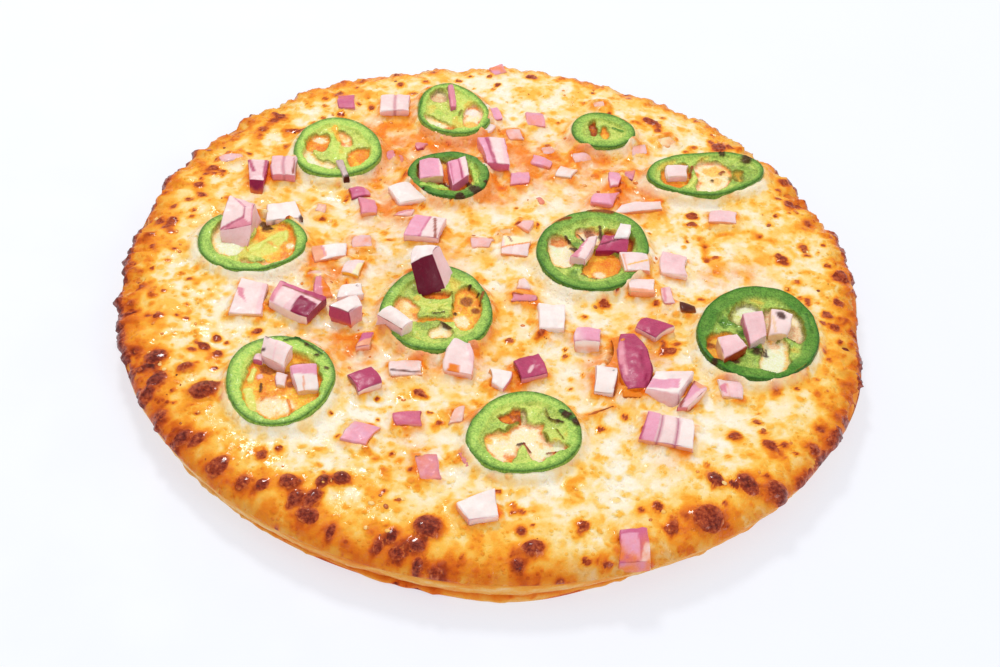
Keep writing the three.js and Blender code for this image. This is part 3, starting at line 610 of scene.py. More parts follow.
def cheeseFinish():
    f = Finish("meltedCheese", warmDepth, Subsurface_Weight=0.08, Subsurface_Scale=0.0012, IOR=1.45,
               Coat_Roughness=0.09, Coat_IOR=1.4, Specular_IOR_Level=0.12)
    bake, char = f.reading("bake"), f.reading("char")
    tiny, small = f.noise(0.45, 3, 0.6), f.noise(1.1, 2, 0.5)
    blob, wide = f.noise(4.6, 2, 0.4), f.noise(7, 2, 0.4)
    region = f.between(f.noise(13, 2, 0.5), 0.36, 0.58, 0.3)
    golden = ((f.between(blob, 0.44, 0.64) + f.between(wide, 0.46, 0.64) * 0.9) * region).held()
    bubbles = f.between(f.cells(3.2), 0.5, 0.24) * f.between(f.noise(5.5, 2, 0.4), 0.44, 0.56)
    beads = f.between(f.cells(1.5), 0.42, 0.2) * f.between(f.noise(3.6, 2, 0.4), 0.48, 0.58)
    raised = golden * 0.21 + bubbles * 0.12 + beads * 0.1 + (small - 0.5) * 0.11 + (tiny - 0.5) * 0.07
    colour = f.ramp(bake + raised * (1.15 - bake).held() + char * 0.1, bakeStops)
    oily = (f.reading("oil") * (small * 0.7 + f.between(blob, 0.35, 0.62) * 0.55 + 0.35)).held()
    colour = f.mixed(colour, shade(246, 138, 34), oily * 0.6)
    colour = f.mixed(colour, shade(252, 210, 154), oily, "MULTIPLY")
    colour = f.mixed(colour, shade(252, 246, 220), (f.reading("halo") * 0.6).held())
    # painted shade: the rolled-over side is darkened toward a browner tone, as the side turned away from the
    # light
    colour = f.mixed(colour, shade(226, 188, 158), f.reading("side") * 0.75, "MULTIPLY")
    depth = (small - 0.5) * 0.6 + (tiny - 0.5) * 0.4 + (1.0 - char) * 0.42
    darkened = f.between(char + (small - 0.5) * 0.2 + (tiny - 0.5) * 0.12, 0.4, 0.52)
    f.feed("Base Color", f.mixed(colour, f.ramp(depth + 0.3, charStops), darkened))
    f.feed("Roughness", f.between(small + bake * 0.2, 0.35, 0.85, 0.34, 0.55))
    f.feed("Coat Weight", (f.reading("wet") * f.between(small, 0.46, 0.58) * 1.1 + char * 0.45).held())
    lumps = blob * 1.2 + wide * 1.4 + bubbles * 0.6 + beads * 0.4
    f.bump(tiny * 0.45 + small * (char * 0.9 + 0.8) + lumps, 0.5, 0.8)
    return f.material


# the bread under it

bread = {"around": 480, "under": 44, "flecks": 420, "fleckReach": 102.6, "seed": 17,
         "footLobes": [(-84, 2, 8), (-63, -1.8, 10)],
         # rows up the side: out from the rim, height, share of the foot's lobes
         "edge": [(-3.5, 0, 1), (-3.1, 0.5, 1), (-2.9, 0.9, 1), (-2.8, 1.4, 1), (-3.3, 1.9, 1),
                  (-3.6, 2.3, 0.9), (-3.3, 2.7, 0.8), (-2.5, 3.4, 0.7), (-1.7, 4.3, 0.5),
                  (-1.05, 5.3, 0.35), (-0.6, 6.3, 0.2), (-0.35, 7.3, 0.1), (-0.3, 8.2, 0),
                  (-0.6, 9.2, 0), (-3.2, 11, 0), (-8, 12, 0)]}


def buildBread(finish):
    n = bread["around"]
    angle = np.linspace(-180, 180, n, endpoint=False)
    rim = rimAt(angle)
    lobe = lobes(angle, bread["footLobes"])
    inset, height, follow = np.array(bread["edge"]).T
    steps = np.linspace(0, 1, len(inset) * 3)
    marks = np.linspace(0, 1, len(inset))
    inset, height, follow = (np.interp(steps, marks, v) for v in (inset, height, follow))
    rows = [(rim + inset[0] + lobe) * part for part in np.linspace(0.025, 0.98, bread["under"])]
    rows += [rim + i + k * lobe for i, k in zip(inset, follow)]
    rows, height = np.array(rows), np.concatenate([np.zeros(bread["under"]), height])
    across, away = polar(angle[None, :], rows)
    p = np.stack([across, away, height[:, None] + 0 * rows], -1).reshape(-1, 3)
    wall = np.repeat((height > 0) & (height < 9.5), n).astype(float)
    turn = np.tile(angle, len(rows))
    lump = cloud(p, 7, 71) * 0.35 + cloud(p * (1, 1, 1.8), 2.4, 81) * 0.16
    z = p[:, 2]
    crease = bell((z - 2.3 - 0.5 * grain(p, 14, 91)) / 0.25)
    push = (lump - 0.3 * crease) * wall * ease(z, 0.2, 2.5)
    p[:, :2] *= (1 + push / np.maximum(np.hypot(p[:, 0], p[:, 1]), 1))[:, None]
    flap = wall * ease(np.abs(z - 1.2), 1.1, 0.3) * cloud(flat(turn, 0 * turn), 2.2, 95)
    p[:, :2] *= (1 + 0.55 * flap / np.maximum(np.hypot(p[:, 0], p[:, 1]), 1))[:, None]

    streak = cloud(p * (0.6, 0.6, 1.5), 5, 101)
    bake = 0.35 + 0.1 * streak + 0.05 * cloud(p, 1.6, 111)
    bake += 0.1 * wall * cloud(p * (0.35, 0.35, 2.2), 1.6, 141)
    bake += 0.06 * ease(z, 2.4, 1.9) * wall
    bake += 0.22 * bell((z - 2.4) / 0.4) * wall + 0.1 * bell((z - 3.6) / 0.8)
    bake += 0.2 * bell((z - 0.4) / 0.4) * wall * ease(streak, -0.3, 0.3)
    bake += 0.1 * ease(z, 6.5, 9)
    bake -= 0.1 * bell(apart(turn, -140) / 12) * wall + 0.04 * bell(apart(turn, -50) / 16)
    bake += 0.3 * ease(np.abs(apart(turn, -80)), 65, 110) * ease(z, 3, 8) * (0.7 + 0.5 * streak)
    below = (z < 0.05).astype(float)
    bake += below * (0.1 + 0.12 * cloud(p, 24, 121))
    rng = np.random.default_rng(bread["seed"])
    for _ in range(bread["flecks"]):  # pinholes and flecks on the side
        t, h = math.radians(rng.uniform(-180, 180)), rng.uniform(1, 8.4)
        c = np.array([math.cos(t) * bread["fleckReach"], math.sin(t) * bread["fleckReach"], h])
        near = np.nonzero((np.abs(p - c) < 3).all(1))[0]
        off = np.linalg.norm((p[near] - c) * (1, 1, 1.2), axis=1) / rng.uniform(0.35, 1)
        bake[near] += rng.uniform(0.1, 0.42) * ease(off, 1.2, 0.4)

    points = np.vstack([p, [[0, 0, 0], [0, 0, 12]]])
    bake = np.concatenate([bake, [0.45, 0.4]])
    below = np.concatenate([below, [1, 0]])
    makePiece("breadCrust", points, roundSkin(len(rows), n), {"bake": bake, "below": below}, {},
              finish, ["bread_base"])


def crustFinish():
    f = Finish("bakedCrust", warmDepth, Subsurface_Weight=0.08, Subsurface_Scale=0.002, IOR=1.45,
               Coat_Roughness=0.2, Specular_IOR_Level=0.25)
    tiny, small = f.noise(0.5, 3, 0.6), f.noise(2.2, 3, 0.55)
    browned = f.reading("bake") + (tiny - 0.5) * 0.2 + (small - 0.5) * 0.2
    patches = f.between(f.noise(9, 4, 0.62, 0.5), 0.5, 0.68) * 0.26 + (f.noise(4, 3, 0.6) - 0.5) * 0.3
    browned = browned + f.reading("below") * patches
    f.feed("Base Color", f.mixed(f.ramp(browned, bakeStops), shade(232, 202, 176), 0.8, "MULTIPLY"))
    f.feed("Roughness", f.between(small, 0.3, 0.7, 0.42, 0.66))
    f.feed("Coat Weight", (f.between(small, 0.45, 0.65) * 0.25).held())
    f.bump(tiny * 0.6 + small, 0.2, 0.7)
    return f.material


# green pepper slices
pepperForm = {"tall": 3.3, "around": 230, "rows": 50, "foot": 12.8, "sink": 1.9, "shoulder": 0.45,
              # the side: out from the skin line, below the top, how much of it is skin
              "levels": [(-0.3, 0.06, 0.5), (-0.12, 0.2, 0.8), (0, 0.5, 0.9), (0.1, 0.9, 0.9),
                         (0.18, 1.4, 1), (0.16, 2, 1), (0.05, 2.6, 1), (-0.05, 3.1, 1)]}


def pepper(at, size, turn, lobe, lobeAt, wall, light, **marks):
    # middle, length and width, turn, how three-sided, wall, how light the flesh is
    # hollows: what shows in them and their outline; stains: across, away, radius, tone
    # strokes: from, to, half width, tone; burns: across, away, radius
    return {"at": at, "size": size, "turn": turn, "lobe": lobe, "lobeAt": lobeAt, "wall": wall,
            "light": light, "oil": 0, "gap": None, "stains": [], "strokes": [], "burns": [], **marks}


pepperSlices = [
    pepper((-18.1, 73.2), (26.7, 22), -66, 0.06, -17, 2.8, 0.9, oil=0.7, hollows=[("tan", -26, 79, -24, 84,
        -21.4, 83.6, -20, 79, -22.6, 77.4), ("white", -27, 70, -24.4, 69.6, -19, 67, -16.4, 63.2, -20, 62.4,
        -25, 65), ("cream", -13.6, 75.6, -11.6, 78, -9.4, 75, -9, 71, -10, 66, -12.6, 65.4, -14.6, 69.4)],
        stains=[(-18.6, 64.4, 2, "orange"), (-12, 68, 2.4, "gold"), (-12, 75, 1.8, "white"),
        (-24, 80, 2, "tan")], strokes=[(-16, 71, -15.4, 74, 0.4, "olive"),
        (-29, 68, -28.6, 78, 0.9, "leaf")], burns=[(-26.5, 62.5, 1.6)]),
    pepper((-51.1, 48.9), (28.8, 26.2), 89, 0.03, -14, 3.7, 1.0, hollows=[("orange", -61, 50, -59, 54.6,
        -56.4, 56, -54, 54, -54, 50, -55, 46, -57.6, 48.4, -60, 48), ("cream", -52.6, 58, -49, 57,
        -46.4, 53, -48, 50, -50.6, 52.4), ("orange", -46.4, 50, -42, 51, -41, 47, -44, 41, -46.2, 41,
        -48, 45.4), ("white", -60.6, 47.6, -58.4, 47, -56, 43, -51.6, 42.4, -50, 40.4, -53, 38.4, -57.6, 40,
        -60, 43.6)], stains=[(-57, 53, 2.2, "cream"), (-56, 49, 2.4, "orange"), (-53.4, 58, 2, "gold"),
        (-43.6, 47, 2.4, "orange")], strokes=[(-53.4, 59, -51, 53, 0.8, "gold")]),
    pepper((-16.6, 41.3), (24.4, 21.9), 6, 0.03, 61, 3, 0.2, oil=0.9, hollows=[("brown", -26, 44, -24, 47,
        -20, 48, -13, 49, -10.6, 44, -10, 39.6, -12, 36, -14, 34, -17, 37, -22, 38, -25.6, 38)],
        stains=[(-18, 37, 2, "burnt"), (-19, 46.6, 1.6, "gold"), (-24, 38.6, 1.6, "orange")],
        strokes=[(-10.4, 47, -8, 38, 0.8, "lime"), (-24, 35, -17, 35.4, 0.9, "lime"),
        (-11, 40, -10, 37, 0.7, "burnt")], burns=[(-8, 34.4, 2.6), (-12.6, 31.4, 1.3), (-5.6, 39, 0.8),
        (-23.6, 33, 0.7)]),
    pepper((28.8, 69.2), (19.7, 17.9), 9, 0.025, -7, 3.4, 0.62, oil=0.5, hollows=[("brown", 24.4, 73,
        26.4, 74.4, 27.6, 70, 26.6, 66.4, 25, 67), ("orange", 28.4, 72, 30, 72.4, 31, 68, 30, 65.4,
        28.4, 67)], stains=[(29.4, 67, 1.4, "gold")], strokes=[(32, 71.6, 35, 70, 0.6, "leaf")]),
    pepper((60.4, 52.1), (36.7, 20.5), 16, 0.04, 40, 2.3, 0.5, hollows=[("orange", 46.4, 50, 49, 54,
        54.6, 57, 56, 52, 54.4, 47, 52, 43.6, 48, 46), ("cream", 57.4, 57, 62, 59, 67, 58, 69, 54, 68, 49.4,
        64, 45, 59, 42.8, 57.4, 44.4, 58.6, 49, 57.4, 53), ("olive", 69, 56, 72, 55, 72.4, 51, 69.6, 49.6,
        68.6, 52)], stains=[(51, 46, 2.4, "orange"), (63, 55, 3, "gold"), (62, 47, 2.6, "cream"),
        (69, 52, 2, "olive")], strokes=[(57.4, 50, 55, 45, 0.7, "yellow"),
        (56.4, 55, 55.6, 51, 0.5, "brown"), (66, 55, 65, 54, 0.6, "brown")], burns=[(73.5, 61, 1.8),
        (65.4, 62.6, 1.3), (62.6, 50.4, 0.6)]),
    pepper((-69.5, 3.6), (30.9, 26.1), 4, 0.03, 11, 3.7, 0.78, gap=(54, 116), hollows=[("white", -80.4, 8,
        -80.6, 2, -79, -1, -76, -3, -73, -2.6, -71.6, 2, -71, 12, -78, 12), ("orange", -70.4, 0, -68.6, 8,
        -69, 14, -60, 13, -57.6, 8, -57, 3, -57.6, -1, -60, -3.4, -65, -3), ("cream", -71.6, -4.8, -65, -4,
        -60, -3.8, -57.6, -2, -59, -5.8, -66, -6.3)], stains=[(-62.4, 6.6, 3.6, "yellow"),
        (-65.6, 2.6, 3.4, "yellow"), (-68, -1, 2.6, "yellow"), (-58.6, 4, 1.6, "cream"),
        (-66, 11, 2, "brown"), (-59.4, 0, 2, "orange")], strokes=[(-69, 1, -62, 9, 0.9, "yellow"),
        (-60.6, 10, -60, 6, 0.6, "yellow")], burns=[(-66.6, 12, 1.4)]),
    pepper((27.1, 12.6), (36.5, 31.1), 64, -0.018, 0, 3.8, 0.36, hollows=[("white", 14, 13, 15.4, 16,
        18, 17.6, 20.6, 14.6, 22.6, 11.4, 22.8, 7.6, 20.4, 4, 17, 4.4, 14.2, 7.6), ("cream", 21, 20.4,
        24.4, 22, 29, 21.4, 29.6, 17, 27, 15, 24, 16.4), ("orange", 26.4, 12.6, 33.6, 12, 36, 9, 34.6, 5,
        # the last hollow, brown, from 30.4, 22.4 round to 30, 17, is painted shadow: the shade under the
        # onion bits lying over it
        33, 2.6, 28.4, 0.8, 25, 2, 24, 5, 26, 8), ("brown", 30.4, 22.4, 34, 21, 39, 20, 38.6, 15, 36, 12,
        32, 13, 30, 17)], stains=[(18, 15.6, 2, "orange"), (25.6, 20.6, 1.8, "brown"),
        (29, 3, 1.8, "cream"), (31, 8, 2, "orange")], strokes=[(28.8, 23, 29.4, 18.6, 0.6, "burnt"),
        (18.8, 17.8, 20.6, 15, 0.3, "burnt"), (20.6, 13.4, 22, 12.4, 0.5, "burnt"),
        (24, 2, 28, 0.4, 0.4, "brown"), (24.4, 29.6, 32, 29.6, 0.9, "brown"),
        (15.4, 23, 20, 25.4, 0.5, "brown"), (24, 18, 22.4, 20, 0.3, "burnt")], burns=[(24.2, 17, 0.6)]),
    pepper((-15.2, -17.9), (34.4, 30.2), 87, 0.03, -29, 3.6, 0.72, oil=0.6, hollows=[("cream", -26.4, -14,
        -23.4, -13.4, -20.4, -17, -20, -21, -20.4, -23.4, -24, -22.6, -27, -19), ("orange", -9.8, -9,
        -7, -7.4, -4.2, -11, -3.2, -15, -3.6, -20, -6, -24.4, -9, -24, -10, -19, -10.6, -14),
        ("white", -17, -26, -13.6, -23.2, -10.8, -24.6, -9.8, -27.6, -12, -28.6, -16, -29),
        ("orange", -20.8, -22, -18, -21.6, -14.6, -20.2, -11, -20.6, -8.6, -19.4, -9.6, -21.6, -13, -22.2,
        -16, -22, -19.4, -23.6), ("brown", -21, -10, -13, -10.4, -12.4, -12, -15, -13.4, -19, -13)],
        stains=[(-8, -20.4, 2, "cream"), (-7.4, -12.4, 2.2, "brown"), (-4.6, -16, 1.4, "brown"),
        (-21.4, -18, 1.6, "gold"), (-21, -14, 1.2, "gold")],
        strokes=[(-18.6, -16, -12, -17.4, 0.7, "yellow"), (-17, -19, -12.6, -15, 0.5, "yellow"),
        (-11.6, -10, -10.8, -16, 0.3, "olive"), (-13.6, -22.8, -10.4, -24.8, 0.4, "burnt"),
        (-16, -19.4, -13, -18.8, 0.3, "burnt"), (-3.6, -14, -3, -10, 0.4, "brown")], burns=[(-6.8, -8, 0.6),
        (-4.4, -10.6, 0.5), (-10, -18, 0.4)]),
    pepper((72.9, -16.7), (38.1, 32.9), 68, -0.017, 15, 4.4, 0.16, hollows=[("lime", 65, -10, 68.4, -5,
        71.4, -5, 73.6, -7.6, 71, -10, 68, -14.4, 65, -12.4), ("tan", 74.6, -8, 77, -6, 81.6, -6, 84.6, -9,
        86, -14, 85, -18.6, 82.4, -18.6, 80, -15.6, 77, -17.6, 74, -15.6), ("orange", 58.6, -20, 62, -18,
        67, -17.6, 70, -22, 66, -28, 61, -29.4, 59, -26), ("white", 73.6, -19.6, 76, -18, 80, -17.6,
        # the tan stain at 77, -20 is painted shadow, where the wall shades the far edge of the white hollow
        80.6, -24, 80, -30, 76, -31.4, 73, -30, 73, -26, 74.6, -23)], stains=[(77, -20, 2, "tan"),
        (59.6, -22, 1.4, "brown"), (66, -28, 1.6, "brown"), (70, -16, 1.6, "tan"), (83, -10, 2, "cream")],
        strokes=[(80, -15.4, 78, -18.6, 0.5, "olive"), (80.4, -16, 82.6, -19, 0.3, "burnt"),
        (81, -20, 81, -23, 0.25, "olive"), (60, -29.4, 66.6, -28.8, 0.6, "burnt"),
        (70, -22.6, 74, -23, 0.5, "burnt"), (82, -31, 85, -28, 0.3, "olive"),
        (86.4, -8, 87, -14, 0.4, "leaf")], burns=[(72, -24, 1.5), (60.4, -29.8, 1)]),
    pepper((-53.1, -49.9), (32.5, 27.8), -90, 0.03, 22, 4.4, 0.95, hollows=[("orange", -61, -42, -57, -43,
        -53, -39, -47, -42, -42.4, -46, -42, -53, -44, -56, -47, -60, -50, -64, -54, -65, -58, -62,
        -61.4, -57, -62, -48)], stains=[(-54.4, -58.6, 4, "cream"), (-50.6, -58.4, 3, "cream"),
        (-57, -45.6, 2.6, "brown"), (-52, -47.4, 2.2, "brown"), (-50.4, -50.6, 1.4, "brown"),
        (-58.4, -48.6, 1.2, "blush"), (-46, -56, 2.2, "gold"), (-60, -53, 2.4, "gold"),
        (-49, -44, 2, "brown"), (-55, -52.6, 1.8, "gold"), (-45, -50, 1.6, "yellow")],
        strokes=[(-60.6, -54, -58.4, -60, 1.3, "yellow"), (-60.8, -50, -60.2, -46.6, 0.9, "yellow"),
        (-57.6, -51.4, -57.4, -54, 0.45, "burnt"), (-56.6, -57, -55.6, -54.6, 0.35, "orange"),
        (-50, -56, -48.6, -60, 0.4, "orange"), (-51, -34.6, -43.6, -40, 0.5, "skin"),
        (-54, -36, -50, -34.8, 0.5, "skin")], burns=[(-48, -37, 0.8), (-44.6, -40.6, 0.9),
        (-41.6, -45, 0.8)]),
    pepper((11, -61.1), (30.4, 26.9), 35, -0.03, 35, 3.8, 0.84, hollows=[("cream", 1, -62, 4, -61.4, 7, -60,
        9.6, -57.6, 11.4, -57.6, 14, -58, 16.4, -56.4, 15.4, -58.6, 15.6, -62, 18, -64, 21, -63.6,
        22.6, -65, 19, -66.4, 16.4, -69, 14.6, -70.6, 13.4, -69, 12, -65.6, 10.6, -64, 9.6, -66, 9, -70,
        8, -72, 4.6, -70.6, 2, -68, 1, -65), ("brown", 3.4, -56, 6.6, -54.6, 9, -52, 10.4, -56, 9, -58,
        # the narrow white hollow from 15.6, -51.6 to 20, -56.6 is a painted highlight: a glint line along the
        # wall drawn as a pale hollow
        6, -58.4), ("tan", 10, -52.6, 10.9, -53, 11.2, -57, 10, -57), ("white", 15.6, -51.6, 17, -55,
        20, -56.6, 18, -56.8, 16, -55)], stains=[(16.6, -66.4, 2.2, "film"), (20, -64.4, 1.4, "film"),
        (2, -64, 1.2, "gold"), (8, -69.6, 1.6, "orange"), (6, -56, 1.6, "orange")],
        strokes=[(9.6, -64.4, 11, -63.6, 0.45, "burnt"), (11, -63.8, 12.8, -66.6, 0.3, "brown"),
        (9, -57, 6.6, -60, 0.6, "olive"), (16, -52, 17, -55, 0.25, "olive"),
        (17, -55, 20.6, -56.6, 0.3, "burnt"), (20, -53, 24.6, -57, 0.8, "skin"),
        (16, -60, 17, -62.4, 0.4, "olive"), (19, -59, 21, -62, 0.3, "olive"),
        (17, -66.6, 20, -65.6, 0.4, "brown")], burns=[(24.4, -56.6, 0.9), (21.6, -54, 0.7)]),
]

# what shows in a hollow: in the middle, in patches, along the edge
hollowTones = {"white": "film cream gold", "cream": "cream gold orange", "orange": "gold orange orange",
               "brown": "orange brown brown", "tan": "tan cream olive", "lime": "film yellow olive",
               "olive": "olive gold olive"}


def softened(outline, rounds=2):  # corners cut off until the outline bends
    points = np.reshape(outline, (-1, 2))
    for _ in range(rounds):
        after = np.roll(points, -1, 0)
        points = np.stack([points * 0.75 + after * 0.25, points * 0.25 + after * 0.75], 1).reshape(-1, 2)
    return points


def ringReach(ring, angle):
    across = angle - math.radians(ring["turn"])
    oval = 1 / np.hypot(np.cos(across) / (ring["size"][0] / 2), np.sin(across) / (ring["size"][1] / 2))
    return oval * (1 + ring["lobe"] * np.cos(3 * (angle - math.radians(ring["lobeAt"]))))


def inGap(ring, turn):  # 1 where the ring is open
    low, high = ring["gap"]
    return ease(turn, low - 6, low + 6) * ease(turn, high + 6, high - 6)


def buildRing(number, ring, finish):
    n, rows = pepperForm["around"], pepperForm["rows"]
    cx, cy = ring["at"]
    angle = np.linspace(-math.pi, math.pi, n, endpoint=False)
    edge = ringReach(ring, angle)
    edge = edge + 0.22 * grain(flat(edge * np.cos(angle) + cx, edge * np.sin(angle) + cy), 4, 140 + number)
    top = cheeseHeight(np.array([cx]), np.array([cy]))[0] + pepperForm["tall"]
    share = np.linspace(0.012, 1, rows) ** 0.85 * (1 - pepperForm["shoulder"] / edge.min())
    radius = share[:, None] * edge[None, :]
    x, y = cx + radius * np.cos(angle), cy + radius * np.sin(angle)
    x, y = x.ravel(), y.ravel()
    inward = (edge[None, :] - radius).ravel()
    turn = np.degrees(np.tile(angle, rows))
    p = flat(x, y)
    warp = cloud(p, 2.2, 200 + number)
    bend = cloud(p, 5.5, 215 + number, 2)
    fine = cloud(p, 0.9, 230 + number)
    light = np.clip(ring["light"] + 0.12 * cloud(p, 6, 260 + number), 0, 1)
    wall = ring["wall"] * (1 + 0.18 * grain(p, 5, 290 + number))
    rib = ease(inward, wall - 0.5, wall + 0.5)

    # flesh from the skin line inward, then the softer pulp
    count = len(x)
    leaf, lime, yellow = tones["leaf"], tones["lime"], tones["yellow"]
    tint = blended(filled(leaf, count), lime, light * (0.3 + 0.7 * ease(inward, 0.4, 1.9)))
    tint = blended(tint, leaf * 0.85, ease(0.7 * warp + 0.5 * fine, 0.1, 0.7) * (0.45 - 0.25 * light))
    tint = blended(tint, yellow, ease(inward, wall - 1.2, wall + 0.2) * 0.35 * light)
    tint = blended(tint, tones["skin"], ease(inward, 0.7, 0.2) * (0.9 - 0.5 * light))
    pulp = blended(filled(lime, count), yellow, np.clip(0.3 + 0.4 * light + 0.4 * warp, 0, 1))
    pulp = blended(pulp, leaf, ease(bend + 0.5 * warp, 0.25, 0.9) * (0.65 - 0.4 * light) + 0.4 * (1 - light))
    pulp = blended(pulp, tones["gold"], ease(-bend - 0.4 * warp, 0.35, 0.9) * 0.5)
    tint = blended(tint, pulp, rib * 0.9)
    z = top - 0.12 * ease(inward, 0, 1) - (0.75 + 0.35 * warp) * rib
    z += 0.05 * fine + 0.1 * grain(p, 3, 320 + number)
    wet = 0.25 + 0.35 * rib

    floor = np.maximum(top - pepperForm["sink"], cheeseHeight(x, y) + 0.5)
    floor += 0.3 * bend + 0.14 * warp + 0.06 * fine
    deep = np.zeros(count)
    bottom = np.zeros((count, 3))
    nearest = np.full(count, 9.0)
    for look, *outline in ring["hollows"]:
        gap = outlineGap(softened(outline), x, y) - 0.3 + 0.5 * bend + 0.4 * warp + 0.12 * fine
        middle, second, edgeTone = (tones[name] for name in hollowTones[look].split())
        seen = blended(filled(middle, count), second, ease(bend + 0.45 * warp, -0.1, 0.5) * 0.65)
        seen = blended(seen, edgeTone, ease(gap, -1.5, -0.3) * (0.6 + 0.3 * warp))
        here = gap < nearest
        bottom[here] = seen[here]
        nearest = np.minimum(nearest, gap)
        deep = np.maximum(deep, ease(gap, 0.25, -0.25) * ease(inward, 1.3, 1.9))
    for sx, sy, size, name in ring["stains"]:
        stain = ease(np.hypot(x - sx, y - sy) / size * (1 + 0.3 * warp + 0.2 * bend), 1.15, 0.55)
        bottom = blended(bottom, tones[name], stain * 0.85)
        tint = blended(tint, tones[name], stain * rib * 0.5 * (name in ("yellow", "gold", "brown")))
    tint = blended(tint, bottom, ease(nearest, 0.12, -0.16) * (deep > 0.02))
    border = bell((nearest - 0.18) / 0.16) * ease(inward, 1.3, 1.9)
    tint = blended(tint, tones["olive"], border * (0.8 - 0.4 * light + 0.4 * bend))
    wet = np.maximum(wet, 0.6 * deep)
    if ring["gap"]:
        opened = inGap(ring, turn) * ease(inward, 7, 4.5)
        deep = np.maximum(deep, opened)
        tint = blended(tint, tones["gold"], opened)
    z = z + (np.minimum(floor, z) - z) * deep
    for ax, ay, bx, by, wide, name in ring["strokes"]:
        gap = strokeGap(ax, ay, bx, by, x, y) + 0.3 * warp * wide
        mask = ease(gap, wide * 1.15, wide * 0.7)
        tint = blended(tint, tones[name] * (0.85 + 0.15 * (name != "burnt")), mask * 0.9)
        z = z + 0.35 * mask
    char = np.zeros(count)
    for cx, cy, size in ring["burns"]:
        burn = ease(np.hypot(x - cx, y - cy) / size * (1 + 0.55 * warp), 1.3, 0.6)
        char = np.maximum(char, burn)
        tint = blended(tint, charred, burn * 0.92)
        z = z + 0.25 * burn * (1 + fine)

    # rounded shoulder, skin and the part sunk in the cheese
    closed = 1 - inGap(ring, np.degrees(angle)) if ring["gap"] else np.ones(n)
    cx, cy = ring["at"]
    points, tints = [np.column_stack([x, y, z])], [tint]
    values = {"skin": [np.zeros(count)], "wet": [wet], "char": [char]}
    lastChar, lastFloor = char[-n:], floor[-n:]
    fresh = leaf * 0.6 + lime * 0.4
    for out, drop, skin in pepperForm["levels"] + [(-0.1, top - pepperForm["foot"], 1)]:
        px, py = cx + (edge + out) * np.cos(angle), cy + (edge + out) * np.sin(angle)
        skinned = np.clip(skin + 0.3 * grain(flat(px, py), 2, 350), 0, 1)
        rowTone = blended(filled(leaf * 0.7, n), tones["skin"], skinned)
        rowTone = blended(rowTone, fresh, np.full(n, min(1, light.mean() * (0.4 if drop < 0.3 else 1.1))))
        tints.append(blended(rowTone, charred, lastChar * 0.9))
        height = np.full(n, top - drop)
        lowered = np.minimum(height, lastFloor + (height - lastFloor) * closed)
        points.append(np.column_stack([px, py, np.where(closed < 1, lowered, height)]))
        for key, value in (("skin", skin), ("wet", 0.9 * skin), ("char", lastChar)):
            values[key].append(np.full(n, value))
    points += [[[cx, cy, z[:n].mean()]], [[cx, cy, pepperForm["foot"]]]]
    tints += [tint[:1], tones["skin"][None]]
    for key, ends in (("skin", [0, 1]), ("wet", [0.3, 0.3]), ("char", [0, 0])):
        values[key] = np.concatenate(values[key] + [ends])
    faces = roundSkin(rows + len(points) - 3, n, outward=False)
    makePiece(f"pepperRing{number:02d}", np.vstack(points), faces, values, {"tint": np.vstack(tints)},
              finish, [f"pepper_ring_{number:02d}"])


def pepperFinish():
    f = Finish("greenPepper", (0.6, 1.0, 0.3), Subsurface_Weight=0.1, Subsurface_Scale=0.001,
               IOR=1.42, Coat_Roughness=0.06, Coat_IOR=1.4, Specular_IOR_Level=0.2)
    tint = f.reading("tint", "Color")
    tiny = f.noise(0.35, 3, 0.6)
    small = f.noise(1.3, 3, 0.6, 0.4)
    speck = f.ramp(f.noise(0.5, 3, 0.75) * 0.7 + small * 0.3, [(0.36, (0.16,) * 3), (0.64, (0.84,) * 3)])
    colour = f.mixed(tint, speck, 0.75, "OVERLAY")
    f.feed("Base Color", colour)
    skin = f.reading("skin")
    f.feed("Roughness", (0.42 - skin * 0.2 + (small - 0.5) * 0.25).held())
    f.feed("Coat Weight", (f.reading("wet") * f.between(small, 0.45, 0.6) * 0.6).held())
    f.bump(tiny * 0.7 + small, 0.16, 0.6)
    return f.material


# onion
onionForm = {"low": 12.8, "round": 0.34, "spacing": 0.42, "bitSpacing": 0.4, "seed": 500, "bitSeed": 1500,
             "seedStep": 7, "oil": 0.55, "bakedOil": 0.45}


def cut(edge, top, tone, **more):
    # corners of the top (front left, front right, back right, back left), how high it stands, then the
    # tones of the top, the front, the left and right sides and the line between layers
    # foot: its lower corners where they lie elsewhere; low: where it starts; layers side by side
    # patches: tone and outline; strokes: from, to, half width, tone; burns: across, away, radius
    return {"edge": np.reshape(edge, (4, 2)), "top": top, "tone": tone.split(), **more}


def chip(at, size, turn, top, tone, **more):  # given by its middle, width and depth, and turn
    return {"at": at, "size": size, "turn": turn, "top": top, "tone": tone.split(), **more}


